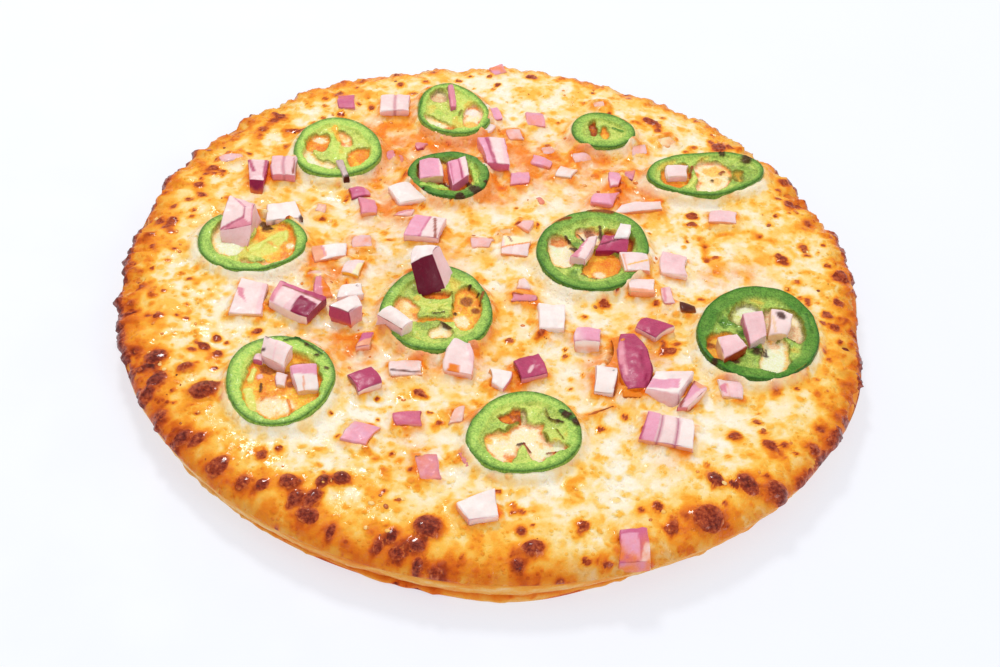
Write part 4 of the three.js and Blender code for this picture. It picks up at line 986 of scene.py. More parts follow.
onions = [
    cut((-1, -91.6, 6.2, -89.4, 4.6, -80.6, -4.4, -86.6), 17, "white pale coral blush rose"),
    cut((35.9, -98, 43.6, -96.6, 42.4, -88, 35.6, -89.6), (13.6, 13.6, 16.4, 16.4),
        "mauve rose mauve pale purple", low=9.4, patches=[("pink", 36, -95, 41, -97, 40, -90, 36, -91),
        # the pale patch at its front right is a painted highlight, the glint on its wet top
        ("pale", 41, -97, 44, -97, 43.2, -92, 41.6, -92)]),
    cut((40.2, -59.6, 54, -61.4, 54.2, -51.4, 42.6, -49.2), 17.5, "pale coral rose white mauve", layers=3,
        arch=1.3, patches=[("pink", 40, -60, 44, -61, 46, -49, 42, -49),
        ("white", 50, -62, 55, -62, 55, -51, 51.6, -51)],
        strokes=[(40.4, -60, 42.4, -50.4, 0.4, "purple")]),
    cut((41.8, -41.8, 50.6, -42.4, 54.8, -33.8, 44.6, -35), 17, "white blush coral pale rose",
        foot=(41.6, -43.6, 51, -45.6, 55, -34, 44, -35),
        patches=[("pink", 41, -38.6, 51, -37.6, 50.6, -41, 41, -41.8)]),
    cut((50.4, -46.8, 53, -46.6, 58.6, -38.6, 55, -36.2), 16.6, "pink rose brown pale brown", arch=0.8,
        patches=[("coral", 54, -36, 59, -38.4, 56, -39.6),
        ("blush", 53, -47, 51.6, -46, 56.6, -40, 58.4, -39)],
        strokes=[(51, -46.4, 54.8, -36.6, 0.45, "brown")]),
    cut((37.6, -41.6, 42.4, -41, 39, -21, 35.4, -21), (16.2, 16.6, 17.4, 16.6),
        "purple orange orange magenta magenta", foot=(37, -42, 42.4, -41.4, 39.6, -21, 34.6, -21.4),
        arch=0.3, belly=2.3, patches=[("rose", 33, -28, 35.6, -23, 36.4, -29, 37, -37)],
        strokes=[(42.2, -40, 40.6, -28, 0.4, "magenta")]),
    cut((38.8, -18, 44.6, -21.4, 49.8, -16.2, 42, -13.4), 16.4, "purple pale mauve pale magenta"),
    cut((28.4, -43.6, 33.6, -43.6, 35, -33.4, 28.8, -33.6), 16.2, "white pale pale brown brown", arch=0.8,
        strokes=[(34.8, -37, 34, -42, 0.5, "brown")], burns=[(29.4, -32.6, 0.9), (33.6, -35.2, 0.3)]),
    cut((22.4, -25.8, 29.6, -25, 29.9, -20.2, 23.2, -20.6), 17, "pink white pink pale rose",
        foot=(23, -27.4, 29.6, -27, 30, -20, 22.8, -20.4)),
    cut((9.4, -41.8, 16.2, -38.8, 13.4, -31.4, 6.6, -35.2), 16.4, "purple rose magenta purple magenta",
        strokes=[(11.2, -39, 12, -36.6, 0.5, "blush")]),
    cut((13.2, -21.8, 20, -21.2, 19.7, -11.6, 12.5, -12), 16.4, "white white pale white pale"),
    cut((1.6, -43.8, 4.8, -46, 7.2, -38.8, 0.6, -38.2), 16.2, "white pale tan rose brown"),
    cut((-11.2, -40.6, -3.8, -41.6, -5, -30.6, -9.4, -29.6), (16, 16, 17.5, 17.5),
        "pale blush white coral coral", belly=0.9,
        patches=[("orange", -11, -42, -7, -42, -7.4, -39, -10, -38.6),
        ("blush", -6, -31, -3, -35, -3.6, -42, -5, -36)]),
    cut((-32.4, -51.6, -26.6, -47.4, -30, -41.4, -36, -45.6), 16.6, "purple pale magenta blush plum"),
    cut((-21.8, -61, -15.2, -60.4, -15.8, -55.2, -23.2, -57), 15.6, "mauve rose mauve purple mauve"),
    cut((-35.4, -67.6, -28.6, -68.6, -25.4, -62.4, -32.4, -60.6), 15.4, "pink pink rose coral rose"),
    cut((-59.2, -43.2, -52.6, -46.4, -51, -40.4, -59, -37.2), (18, 18, 20, 20),
        "pale blush blush pale coral", strokes=[(-55.4, -39, -55.6, -44.6, 0.2, "blush")],
        burns=[(-57.8, -37.6, 0.7), (-58.6, -41.6, 0.6)]),
    cut((-47.8, -54, -42.6, -52.6, -44, -45.2, -50.8, -47.2), (17, 17, 19.6, 19.6),
        "white tan blush pale rose", patches=[("pink", -51.4, -46.6, -43, -44.4, -43, -48.4, -50.4, -49.8)],
        strokes=[(-46.8, -50, -46.2, -53.6, 0.3, "coral")]),
    cut((-24, -8.3, -18.3, -3.2, -16.6, 1, -23.4, 0), (24, 24, 23.4, 23.4), "white plum plum blush magenta",
        foot=(-20.4, -12.6, -13.4, -9.6, -11.2, -4, -20, -4.6), low=15.4),
    cut((-31, -25.4, -23.4, -30.4, -20.8, -27, -27.2, -21.8), (20.2, 20.2, 20.2, 20.6),
        "white blush blush pale brown", arch=0.9, strokes=[(-30.2, -26, -26.4, -28.4, 0.3, "brown"),
        (-26.4, -28.4, -23, -30.6, 0.2, "brown")], burns=[(-30.8, -28.2, 0.9)]),
    cut((-60.6, -21.6, -49.4, -27, -45, -18.6, -58.6, -13.6), (17.2, 17.6, 17.8, 18.2),
        "blush pale magenta magenta magenta", patches=[("mauve", -58.8, -13, -44.4, -17.6, -44.6, -20.8,
        -57.4, -15.6), ("purple", -52, -16.4, -44.6, -18.2, -44.8, -21, -51, -18.4), ("rose", -59.4, -13.4,
        -57.4, -15.4, -59.4, -21.8, -61.8, -19.6), ("magenta", -52.2, -18.8, -47, -21.8, -49, -26.8,
        -54.6, -26.8), ("pale", -57, -16.2, -53.4, -18.4, -56.4, -23.4, -58.8, -21.6)],
        strokes=[(-57.4, -15.6, -45, -21, 0.3, "brown"), (-58.8, -13.6, -45.4, -18, 0.25, "magenta")]),
    cut((-42.8, -17.4, -35.4, -15, -36.6, -10.2, -42, -12), 17, "white pale white tan brown",
        burns=[(-37.6, -12, 0.3)]),
    cut((-44.2, -22.8, -38.6, -24.8, -35, -21.6, -37, -17.2), 19, "white purple purple blush magenta",
        foot=(-43.6, -24, -37.4, -26.4, -35, -22.6, -37, -18)),
    cut((-35.4, -35, -31.6, -33.6, -31, -28.2, -34.2, -29), 16, "coral blush rose tan purple",
        patches=[("mauve", -36, -34, -34, -28, -30, -28, -31.4, -30.6)]),
    cut((-43, -5, -38, -6.2, -36.8, 0.8, -42, 0.2), 15.8, "pale gold white gold tan",
        # the cream patch on its right is a painted highlight, a wet yellow glint
        patches=[("cream", -40, -6, -37, -6, -37, -1, -38.6, -1.4)]),
    cut((-50.8, -2.2, -42.6, 1.6, -42.8, 6.8, -52.8, 4.2), 15.9, "white coral rose pale coral",
        patches=[("coral", -54, 3, -50, 5.8, -47.8, 0.6, -50.6, -3.4)],
        strokes=[(-50, 5, -48, 0.4, 0.25, "rose")]),
    cut((-27.4, 11.2, -17.4, 11, -15.8, 20.2, -24.8, 20.6), 17.2, "pale blush mauve blush mauve",
        patches=[("pink", -28, 11, -22.8, 10.4, -20, 21, -25, 21)],
        strokes=[(-20.2, 20.4, -22.8, 10.8, 0.3, "mauve"), (-18.9, 19, -18.2, 11.4, 0.5, "brown")]),
    cut((-70.6, -26.2, -61.8, -25.6, -62, -13.4, -69.8, -11.4), 16, "pale tan coral pale coral",
        patches=[("rose", -70, -16, -68.2, -16.2, -67.8, -18.6, -66.4, -22, -68.6, -19.6, -69.6, -18.4),
        ("blush", -63.6, -26, -61, -26, -61.6, -13, -63.4, -14)]),
    cut((-66.8, 12.4, -56.6, 15.2, -59.8, 22.8, -67.6, 19.8), 16.8, "white pale tan tan brown",
        burns=[(-56.8, 15.4, 0.8), (-67, 20.4, 0.5), (-64.6, 12.2, 0.9)]),
    cut((-78.8, 5, -69.6, 8, -70.4, 15.8, -77.8, 17.8), (18.4, 20, 21, 21.4),
        "pale blush blush blush magenta", foot=(-77.6, 2.6, -70.8, 0.8, -67.6, 14, -79, 16), arch=0.9,
        patches=[("blush", -75.6, 18, -69, 16, -69, 6, -73, 8.6, -72.4, 12),
        # the rose patch along its front is painted shade on the leaning front face
        ("rose", -78.6, 4.4, -72.6, 9, -69, 7, -70, 3)], strokes=[(-76.8, 17.4, -72.8, 13, 0.3, "mauve"),
        (-72.8, 13, -72.6, 9.4, 0.35, "purple"), (-72.6, 9.4, -78.4, 5.2, 0.45, "purple"),
        (-70.8, 16, -70, 8, 0.2, "rose")]),
    cut((-74.6, 29.8, -70, 30, -70.2, 39.4, -76.6, 39), 17.4, "blush magenta rose purple magenta",
        foot=(-73.6, 27, -70.4, 26.4, -70, 39.4, -76.6, 39), strokes=[(-76, 39, -73.8, 33.6, 0.6, "purple"),
        (-71, 39, -70.2, 31, 0.6, "purple"), (-76.6, 36, -74.6, 30, 0.4, "rose")]),
    cut((-68.2, 32.6, -61.6, 33.2, -62.2, 42.2, -70, 41.8), 17.6, "blush rose pink grey rose", layers=2,
        strokes=[(-62.8, 41, -62.2, 34, 0.3, "brown")]),
    cut((-40.4, 69, -31.6, 70.8, -32.2, 78.6, -41, 77.6), 17.2, "pale blush pale pale rose", layers=2),
    cut((-5.6, 47.4, 1.2, 47.2, -1.2, 60, -9.4, 59.4), 17.6, "blush mauve rose pale magenta",
        patches=[("pink", -10, 60, -7, 60, -3.6, 47, -6.4, 47),
        ("pale", -5.4, 60, -2.4, 60, -0.4, 47, -2.4, 47), ("pink", -1.6, 60, 0, 60, 1.6, 50, 0.6, 50)],
        strokes=[(-6.6, 59, -3.2, 47, 0.7, "purple")]),
    cut((-29.8, 26.2, -22.2, 29.4, -28.4, 37.2, -34, 33), 16.4, "white white pale pale tan"),
    cut((-40.2, 20.6, -35.8, 21.4, -37, 27.4, -42, 27.6), 16, "rose coral mauve rose rose"),
    cut((25.8, 34.4, 32.4, 34, 34.4, 40.4, 26.6, 38.8), 16.2, "pink rose pink coral rose",
        patches=[("rose", 31, 42, 35, 42, 34, 34, 32, 34)]),
    cut((33.4, 30.6, 47.4, 35, 46.8, 38.8, 35, 35.4), 15.8, "pale coral tan pale tan"),
    cut((60.4, 30.6, 69, 31, 69.4, 36.4, 61.4, 36.2), 16, "blush coral coral pale coral"),
    cut((0.8, 8.4, 8.6, 8.2, 9, 15.4, 0.8, 16.8), 15.8, "pale coral tan pale tan",
        patches=[("cream", 1, 17.4, 9, 16, 9, 14, 2, 11.4)], strokes=[(1, 10.8, 9, 14, 0.3, "orange"),
        (2.6, 16, 3.6, 13.6, 0.3, "brown")]),
    cut((46.2, 5.8, 53.6, 5.2, 53.8, 13.4, 46.8, 15), 16.2, "blush pale pale white coral"),
    cut((36, 3.6, 43.4, 4.6, 42.4, 12, 34.4, 11.6), 17.6, "pale coral tan pale tan",
        strokes=[(37, 6, 42.4, 8.6, 0.35, "gold"), (35.6, 10.4, 36.6, 4, 0.3, "coral")]),
    cut((37.6, -4, 44.8, -3.8, 44.4, 2.2, 37, 2), 16.6, "pale coral tan white tan",
        patches=[("coral", 36, -2.6, 45, -2.4, 45, -5, 37, -5)]),
    cut((70, -23.2, 74.6, -19.6, 73.8, -10.4, 68, -12.8), (18.6, 19, 20, 20),
        "blush grey mauve pale mauve"),
    cut((75.4, -18.2, 80.6, -17.2, 82.6, -10, 76.4, -9), (18, 18, 19.6, 19.6), "pale tan tan pale tan",
        strokes=[(76.6, -12, 77.2, -17, 0.4, "tan")], burns=[(79, -11.8, 1.3)]),
    cut((62.8, -30.4, 69.2, -25, 66.4, -20.2, 61, -22.4), 19.2, "blush brown tan magenta magenta",
        strokes=[(62.8, -30.6, 69.4, -25, 0.5, "brown"), (61.6, -29, 61.2, -23.4, 0.3, "cream")]),
    cut((62.4, -41.2, 67.6, -41.4, 67.4, -34.2, 61, -35), 15.9, "blush tan pale white coral",
        patches=[("rose", 61, -38.6, 63.2, -36.6, 63.4, -40.4)],
        strokes=[(63.4, -36.6, 64, -41, 0.2, "coral")], burns=[(68.2, -41.8, 0.9)]),
]

# bits on the pepper rings and bits baked into the cheese: middle, height, width and depth, turn
ringBits = [
    chip((-18.8, 79.4), (1.9, 12), 10, 18, "rose mauve mauve blush mauve"),
    chip((-48, 38), (2, 8.4), 22, 17.8, "grey brown grey burnt burnt", burns=[(-46.4, 34.4, 1.2),
        (-49.8, 42, 0.6)]),
    cut((-25, 36.4, -18, 38.6, -20, 47.2, -26, 45), 18, "pink tan pink pale rose", low=14,
        patches=[("pale", -20.6, 47, -19.8, 47, -17.8, 38, -19, 38)]),
    cut((-15.2, 33.6, -10.6, 40, -12.4, 48.6, -17.6, 45), 18.2, "pink mauve mauve pale purple", low=14,
        patches=[("pale", -14.4, 49, -12, 49, -10, 40, -12, 39)],
        strokes=[(-14.6, 47.4, -12.4, 38, 0.35, "purple"), (-16.6, 44, -14.8, 35, 0.3, "mauve")]),
    cut((48.6, 47.8, 54.6, 49.2, 55.2, 55, 48.2, 53.8), 17.6, "pale blush pale tan tan", low=14),
    cut((20.6, 7, 25, 5.8, 28.2, 17, 25.2, 15.4), 18.4, "pale blush mauve white mauve", low=14,
        patches=[("rose", 20, 7, 22.6, 6.4, 25.6, 15.6, 24.6, 16)]),
    cut((27.8, 11.8, 36.8, 12, 36.8, 17.4, 29.6, 17.8), (17, 17.2, 18.4, 18.4),
        "purple magenta purple mauve plum", low=14, strokes=[(29, 14, 35.6, 16.4, 0.4, "plum")]),
    cut((32.6, 15.8, 36.8, 16.4, 37.8, 22.6, 34.4, 23.2), 18.8, "white blush mauve white mauve", low=14),
    cut((-53.8, -52, -51.4, -52, -51, -47.6, -54.6, -46.8), 16.8, "pale tan rose coral brown", low=13),
    cut((-61, -44, -58.6, -44.4, -58.4, -41.8, -60.6, -41.4), 17.2, "blush mauve rose pale purple", low=13),
]
bakedBits = [
    cut((-25, -43.6, -16.8, -42.4, -17.4, -36, -26, -38.6), 15.2, "pale coral tan tan tan",
        strokes=[(-25, -42, -17.2, -41.4, 0.35, "burnt")]),
    chip((-12.4, -74), (5.4, 8.6), 12, 15, "rose coral coral blush rose", burns=[(-15.6, -70, 1.2)]),
    cut((-8.6, -58.6, -5, -57.4, -4.8, -51.6, -7.4, -53.4), 15, "pale coral coral pale coral"),
    cut((-49.2, -16.6, -43.4, -15.4, -48.4, -7.4, -49.6, -8), 15.6, "rose coral purple orange mauve",
        patches=[("orange", -46.6, -16, -43, -15, -48, -8)]),
    cut((-41.4, 6.2, -35.6, 7.4, -36.2, 13.2, -41.6, 11.4), 14.9, "blush coral coral blush coral"),
    cut((-44, 27.2, -38.6, 29.6, -41.4, 33, -45.4, 31.6), 15.8, "mauve magenta magenta rose magenta",
        patches=[("rose", -41, 33, -38, 32, -38, 29, -40.4, 29)]),
    cut((-31.4, 22, -26, 22, -25.4, 25.4, -30, 24.2), 15, "blush coral coral coral coral",
        strokes=[(-31, 22.4, -26.4, 24.6, 0.4, "rose")]),
    chip((-51.6, 74.6), (5.2, 6.6), 5, 15.6, "mauve rose purple rose purple"),
    cut((31.6, 43.4, 34, 44.6, 36, 50.4, 30.8, 51), 15.8, "pink rose rose purple purple"),
    cut((-7.6, 10.6, -2.6, 11.6, -1.6, 15.4, -8.4, 15.6), 15, "blush coral coral coral coral",
        strokes=[(-8.4, 15.8, -2, 15.4, 0.3, "coral")]),
    cut((14.6, 46.6, 19.6, 46.4, 21.8, 50.6, 16.4, 52), 15.2, "white tan pale pale tan"),
    chip((48.2, -3), (3.2, 6.8), 12, 15.6, "blush rose tan rose mauve",
        strokes=[(47.2, -0.4, 47.6, -5.6, 0.5, "rose")]),
    cut((5, -10.8, 11.6, -10, 12, -7.6, 5.2, -7), 15.2, "rose magenta brown mauve burnt",
        patches=[("brown", 4, -6, 8, -7, 8.4, -8.4, 4, -8.2)]),
    chip((7.9, 74.5), (5.6, 6.8), 3, 15, "pink rose rose pink rose"),
    cut((1.8, 40.4, 7.4, 42, 7.2, 47.4, 1.6, 46.4), 15.4, "pink mauve rose rose rose"),
    cut((7.2, 52, 13.4, 50.4, 14.2, 54, 8.2, 56.4), 15.2, "pink rose rose coral rose"),
    chip((22.8, 57.4), (5.6, 5), 21, 15, "blush coral coral blush coral"),
    chip((40.3, 63.6), (5.4, 5.6), 8, 15, "blush coral coral blush coral"),
    chip((1.7, 66.1), (4.4, 5.2), 18, 15, "blush coral pink pink rose"),
    chip((-4.8, 74.6), (3.2, 6.2), 25, 15.8, "pink mauve mauve pale mauve"),
    chip((-7.2, 67.2), (4.2, 6), -28, 15.8, "pale blush pale pale rose"),
    cut((4.8, 22, 8.4, 19.8, 9.8, 25.4, 6.4, 24.6), 15, "blush coral coral pale coral"),
    cut((-27.4, 53.4, -25.6, 55, -24.4, 57.4, -28.8, 57.4), 15.2, "rose purple purple rose purple"),
    chip((-34.9, 50), (3.8, 4.4), 20, 15, "rose mauve mauve rose purple", taper=1.8),
    chip((-82, 42.4), (6.8, 3.6), 26, 15, "blush coral rose pale rose"),
    chip((-5.4, 100.4), (5, 4.6), 30, 14.4, "pink rose rose pink rose"),
    cut((-54, 21.4, -51, 20, -51, 24.4, -53.6, 24.6), 14.8, "pale blush blush pale blush"),
    cut((-53, -7.4, -48, -6.4, -48.4, -3.4, -53, -4.8), 14.6, "pale coral coral pale coral"),
    chip((27.6, 85.4), (5, 4), 10, 14.6, "pale blush blush pale blush"),
    chip((48.9, 69.4), (6, 5), 30, 14.6, "cream tan tan pale tan"),
    cut((35, 50, 38.4, 48, 39.4, 53.4, 36, 51.6), 15, "rose magenta purple rose purple"),
    chip((11.2, 34.6), (2, 3.4), 24, 14.8, "rose coral mauve coral rose"),
    chip((1.6, 19.4), (3.6, 3), 10, 14.6, "cream tan tan pale tan"),
    chip((12.3, 59.4), (4, 4), 24, 14.6, "blush coral coral blush coral"),
    cut((6.2, -5.2, 10, -5, 8, -0.8, 6.6, -1.6), 15.2, "pale blush pale pale blush"),
    chip((-32, 49.1), (2, 4.6), 30, 14.8, "rose mauve purple coral purple"),
    chip((30.4, -49.4), (8.4, 0.8), 32, 14.9, "brown burnt brown orange burnt"),
    cut((52, -9.2, 56.4, -9, 55.8, -6.6, 51.4, -5), 15.6, "burnt burnt burnt burnt burnt"),
    chip((-3.4, -70.6), (1.8, 6), 26, 15.2, "rose brown rose coral magenta"),
    chip((14.8, -23.6), (1, 3), 40, 14.9, "brown brown coral rose brown"),
    cut((31, -33.4, 36.4, -37, 37.4, -22, 32.6, -22.8), (15, 15.2, 16.4, 15.6),
        "orange orange brown orange brown", belly=-1.4),
    cut((36, -44, 41, -43.6, 42, -40.6, 36, -41), 15.2, "orange brown orange orange brown"),
]


def stepsAlong(length, spacing, bend):
    inner = np.linspace(-length / 2 + bend, length / 2 - bend, max(2, int((length - 2 * bend) / spacing) + 1))
    side = length / 2 - bend * np.array([0, 0.3, 0.65])
    return np.concatenate([-side, inner, side[::-1]])


def blockShell(xs, ys, zs):  # the skin of a block on three sets of steps, one closed mesh
    ids = -np.ones((len(xs), len(ys), len(zs)), int)
    keep = np.zeros(ids.shape, bool)
    keep[[0, -1]] = keep[:, [0, -1]] = keep[:, :, [0, -1]] = True
    ids[keep] = np.arange(keep.sum())
    gx, gy, gz = np.meshgrid(xs, ys, zs, indexing="ij")
    points = np.column_stack([gx[keep], gy[keep], gz[keep]])
    faces = []
    for sheet, flip in [(ids[0], True), (ids[-1], False), (ids[:, 0], False), (ids[:, -1], True),
                        (ids[:, :, 0], True), (ids[:, :, -1], False)]:
        quad = np.stack([sheet[:-1, :-1], sheet[1:, :-1], sheet[1:, 1:], sheet[:-1, 1:]], -1).reshape(-1, 4)
        faces += (quad[:, ::-1] if flip else quad).tolist()
    return points, faces


def cornersOf(piece, rng):  # the top's four corners, also where only a middle and a size are given
    if "edge" in piece:
        return piece["edge"]
    wide, deep = piece["size"]
    turn = math.radians(piece["turn"])
    across, away = np.array([math.cos(turn), math.sin(turn)]), np.array([-math.sin(turn), math.cos(turn)])
    back = piece.get("taper", 1)
    wides = [wide * 2 / (1 + back), wide * 2 * back / (1 + back)]
    shape = [(-wides[0], -deep), (wides[0], -deep), (wides[1], deep), (-wides[1], deep)]
    corners = np.array([across * a / 2 + away * b / 2 for a, b in shape]) + piece["at"]
    return corners + rng.uniform(-0.07, 0.07, (4, 2)) * min(wide, deep)


def onionMark(piece):  # where a piece lies, for the cheese round it
    corners = cornersOf(piece, np.random.default_rng(1))
    across = (corners[1] + corners[2] - corners[0] - corners[3]) / 2
    away = (corners[2] + corners[3] - corners[0] - corners[1]) / 2
    return {"green": False, "at": tuple(corners.mean(0)), "size": (np.hypot(*across), np.hypot(*away)),
            "turn": math.degrees(math.atan2(across[1], across[0]))}


def spreadOver(corners, u, v):
    a, b, c, d = (np.atleast_1d(corner) for corner in corners)
    u, v = u[:, None], v[:, None]
    return (1 - u) * (1 - v) * a + u * (1 - v) * b + u * v * c + (1 - u) * v * d


def onionShape(piece, seed, spacing):
    rng = np.random.default_rng(seed)
    corners = cornersOf(piece, rng)
    foot = np.reshape(piece["foot"], (4, 2)) if "foot" in piece else corners
    low = piece.get("low", onionForm["low"])
    tops = np.broadcast_to(piece["top"], 4)
    across = (corners[1] + corners[2] - corners[0] - corners[3]) / 2
    away = (corners[2] + corners[3] - corners[0] - corners[1]) / 2
    wide, deep, tall = np.hypot(*across), np.hypot(*away), tops.mean() - low
    soft = min(onionForm["round"], wide * 0.3, deep * 0.3, tall * 0.3)
    p, faces = blockShell(stepsAlong(wide, spacing, soft), stepsAlong(deep, spacing, soft),
                          stepsAlong(tall, spacing * 1.3, soft))
    half = np.array([wide, deep, tall]) / 2
    core = np.clip(p, -(half - soft), half - soft)
    lean = p - core
    normal = lean / np.maximum(np.linalg.norm(lean, axis=1), 1e-6)[:, None]
    p = core + normal * soft
    rounded = ease(np.abs(normal).max(1), 0.985, 0.8)

    layers = piece.get("layers", 1)
    u, v = p[:, 0] / wide + 0.5, p[:, 1] / deep + 0.5
    upper = (p[:, 2] + half[2]) / tall
    middle = 1 - (2 * v - 1) ** 2
    groove = np.zeros(len(p))
    for layer in range(1, layers):
        groove = np.maximum(groove, bell((u - layer / layers) * wide / 0.3))
    p[:, 2] -= upper * (0.45 * groove + piece.get("arch", 0.3) * (1 - middle))
    p[:, 1] += np.sign(normal[:, 1]) * -0.3 * groove * (np.abs(normal[:, 1]) > 0.6)
    bow, cup = rng.uniform([-0.5, -0.35], [0.5, 0.75])
    p[:, 0] = p[:, 0] + bow * (middle - 0.5) + piece.get("belly", 0) * middle * (2 * u - 1)
    p[:, 2] -= upper * cup * 0.5 * (2 * u - 1) ** 2
    q = p + seed * 31.7
    p += normal * (0.32 * grain(q, 4.2, seed) + 0.16 * grain(q, 1.4, seed + 1))[:, None]
    p[:, 2] -= 0.25 * upper * ease(rounded * (0.5 + grain(q, 2.6, seed + 2)), 0.3, 1)

    a, b, share = p[:, 0] / wide + 0.5, p[:, 1] / deep + 0.5, (p[:, 2] + half[2]) / tall
    place = spreadOver(foot, a, b)
    place += (spreadOver(corners, a, b) - place) * share[:, None]
    height = low + (spreadOver(tops, a, b)[:, 0] - low) * share
    axes = np.array([across / wide, away / deep])
    facing = np.column_stack([normal[:, :2] @ axes, normal[:, 2]])
    return np.column_stack([place, height]), faces, facing, rounded, groove, corners.mean(0)


def onionTint(piece, seed, p, facing, rounded, groove, middle):
    topTone, front, left, right, line = (tones[name] for name in piece["tone"])
    fx, fy, fz = facing.T
    weights = np.maximum(np.column_stack([fz, -fy, -fx, fx, fy]), 0) ** 4
    weights /= weights.sum(1)[:, None] + 1e-6
    q = p + seed * 17.3
    blotch = cloud(q, 2.6, seed + 5)
    slow = grain(q, 6, seed + 8)
    x, y = p[:, 0], p[:, 1]
    fades = np.random.default_rng(seed + 3).uniform(-1, 1, 2)
    over = ((x - middle[0]) * fades[0] + (y - middle[1]) * fades[1]) / 5 + 0.4 * slow
    topTones = blended(filled(topTone, len(p)), topTone * 0.8 + line * 0.2, ease(over, 0.1, 1.0) * 0.7)
    topTones = blended(topTones, tones["white"], ease(-over, 0.3, 1.1) * 0.5 * (topTone.min() > 0.3))
    sides = np.array([front, left, right, topTone * 0.9 + 0.1 * line])
    tint = weights[:, :1] * topTones + weights[:, 1:] @ sides
    tint = tint * (1 + 0.07 * blotch)[:, None]
    shown = ease(fz, 0.15, 0.5)
    for name, *outline in piece.get("patches", []):
        tint = blended(tint, tones[name], ease(outlineGap(outline, x, y) + 0.25 * blotch, 0.2, -0.15) * shown)
    for ax, ay, bx, by, wide, name in piece.get("strokes", []):
        gap = strokeGap(ax, ay, bx, by, x, y) + 0.25 * wide * blotch
        tint = blended(tint, tones[name], ease(gap, wide * 1.2, wide * 0.5) * 0.9 * shown)
    # partly painted shade: the darker line tone along rounded edges and in the grooves between layers is the
    # onion's own skin lines and also shade at the edges and in the grooves
    border = rounded * ease(grain(q, 3, seed + 6), -0.4, 0.5)
    tint = blended(tint, line * 0.8, np.clip(groove * 0.85 + 0.75 * border, 0, 1))
    low = ease(p[:, 2], cheese["crown"] + 2.4, cheese["crown"] + 0.7)
    tint = blended(tint, tones["orange"], low * np.clip(0.45 + 0.6 * blotch, 0, 0.85))
    char = np.zeros(len(p))
    for cx, cy, size in piece.get("burns", []):
        off = np.hypot(x - cx, y - cy) / size * (1 + 0.4 * blotch)
        char = np.maximum(char, ease(off, 1.25, 0.7))
    tint = blended(tint, charred, char * 0.92)
    return np.clip(tint, 0, 1), char


def onionFinish(name, roughness, translucent):
    f = Finish(name, (1.0, 0.55, 0.5), Subsurface_Weight=translucent * 1.6, Subsurface_Scale=0.0024,
               IOR=1.42, Coat_Roughness=0.08, Coat_IOR=1.4, Specular_IOR_Level=0.22)
    tint = f.reading("tint", "Color")
    tiny = f.noise(0.4, 3, 0.6)
    small = f.noise(1.6, 3, 0.6, 0.6)
    fibre = f.ramp(f.noise(0.9, 4, 0.65, 0.8) * 0.6 + tiny * 0.4, [(0.3, (0.36,) * 3), (0.7, (0.66,) * 3)])
    colour = f.mixed(tint, fibre, 0.5, "OVERLAY")
    f.feed("Base Color", colour)
    f.feed("Roughness", (roughness + (small - 0.5) * 0.3).held())
    f.feed("Coat Weight", (f.between(small, 0.54, 0.62) * 0.2).held())
    f.bump(tiny * 0.5 + small, 0.14, 0.5)
    return f.material


def joined(pieces):
    shift, points, faces, tints, chars = 0, [], [], [], []
    for p, f, tint, char in pieces:
        points.append(p)
        faces += [[i + shift for i in face] for face in f]
        tints.append(tint)
        chars.append(char)
        shift += len(p)
    return np.vstack(points), faces, np.vstack(tints), np.concatenate(chars)


def madeOnion(piece, seed, spacing):
    p, faces, facing, rounded, groove, middle = onionShape(piece, seed, spacing)
    tint, char = onionTint(piece, seed, p, facing, rounded, groove, middle)
    return p, faces, tint, char


def buildOnions(finishes, slots):
    for number, piece in enumerate(onions, 1):
        node = f"onion_{number:02d}"
        seed = onionForm["seed"] + number * onionForm["seedStep"]
        p, faces, tint, char = madeOnion(piece, seed, onionForm["spacing"])
        makePiece(f"onionPiece{number:02d}", p, faces, {"char": char}, {"tint": tint}, finishes[slots[node]],
                  [node])
    for name, rows, slotName in [("onionOnPepper", ringBits, "onion_pink"),
                                 ("onionInCheese", bakedBits, "onion_pale")]:
        seeds = [onionForm["bitSeed"] + k * onionForm["seedStep"] for k in range(len(rows))]
        made = [madeOnion(row, seed, onionForm["bitSpacing"]) for row, seed in zip(rows, seeds)]
        p, faces, tint, char = joined(made)
        makePiece(name, p, faces, {"char": char}, {"tint": tint}, finishes[slotName])


# small bubbles of cheese, beads of oil and burnt crumbs, strewn over the cheese: how many to the square metre
# at most, range of radius in metres, how flat, roundness, seed, and the tones they run through
strewn = {
    "cheeseBubbles": {"field": "bubbly", "density": 42000, "smallest": 0.00025, "largest": 0.0007,
                      "flat": 0.35, "rings": 5, "segments": 8, "seed": 3, "rough": 0.3, "coat": 0.5,
                      "stops": [(0.0, (255, 226, 160)), (0.4, (252, 186, 76)), (0.75, (226, 124, 40)),
                                (1.0, (136, 48, 22))]},
    "oilBeads": {"field": "beaded", "density": 30000, "smallest": 0.0002, "largest": 0.0006, "flat": 0.45,
                 "rings": 5, "segments": 8, "seed": 5, "rough": 0.12, "coat": 1.0,
                 "stops": [(0.0, (252, 190, 84)), (0.6, (240, 146, 44)), (1.0, (206, 96, 28))]},
    "burntCrumbs": {"field": "crumbed", "density": 9000, "smallest": 0.00016, "largest": 0.00042, "flat": 0.6,
                    "rings": 3, "segments": 5, "seed": 9, "rough": 0.6, "coat": 0.0,
                    "stops": [(0.0, (214, 112, 40)), (0.6, (156, 66, 26)), (1.0, (92, 30, 18))]},
}
strewInputs = {"Surface": "Geometry", "Density": "Float", "Amount": "Float", "Smallest": "Float",
               "Largest": "Float", "Flat": "Float", "Rings": "Int", "Segments": "Int", "Seed": "Int",
               "Material": "Material"}


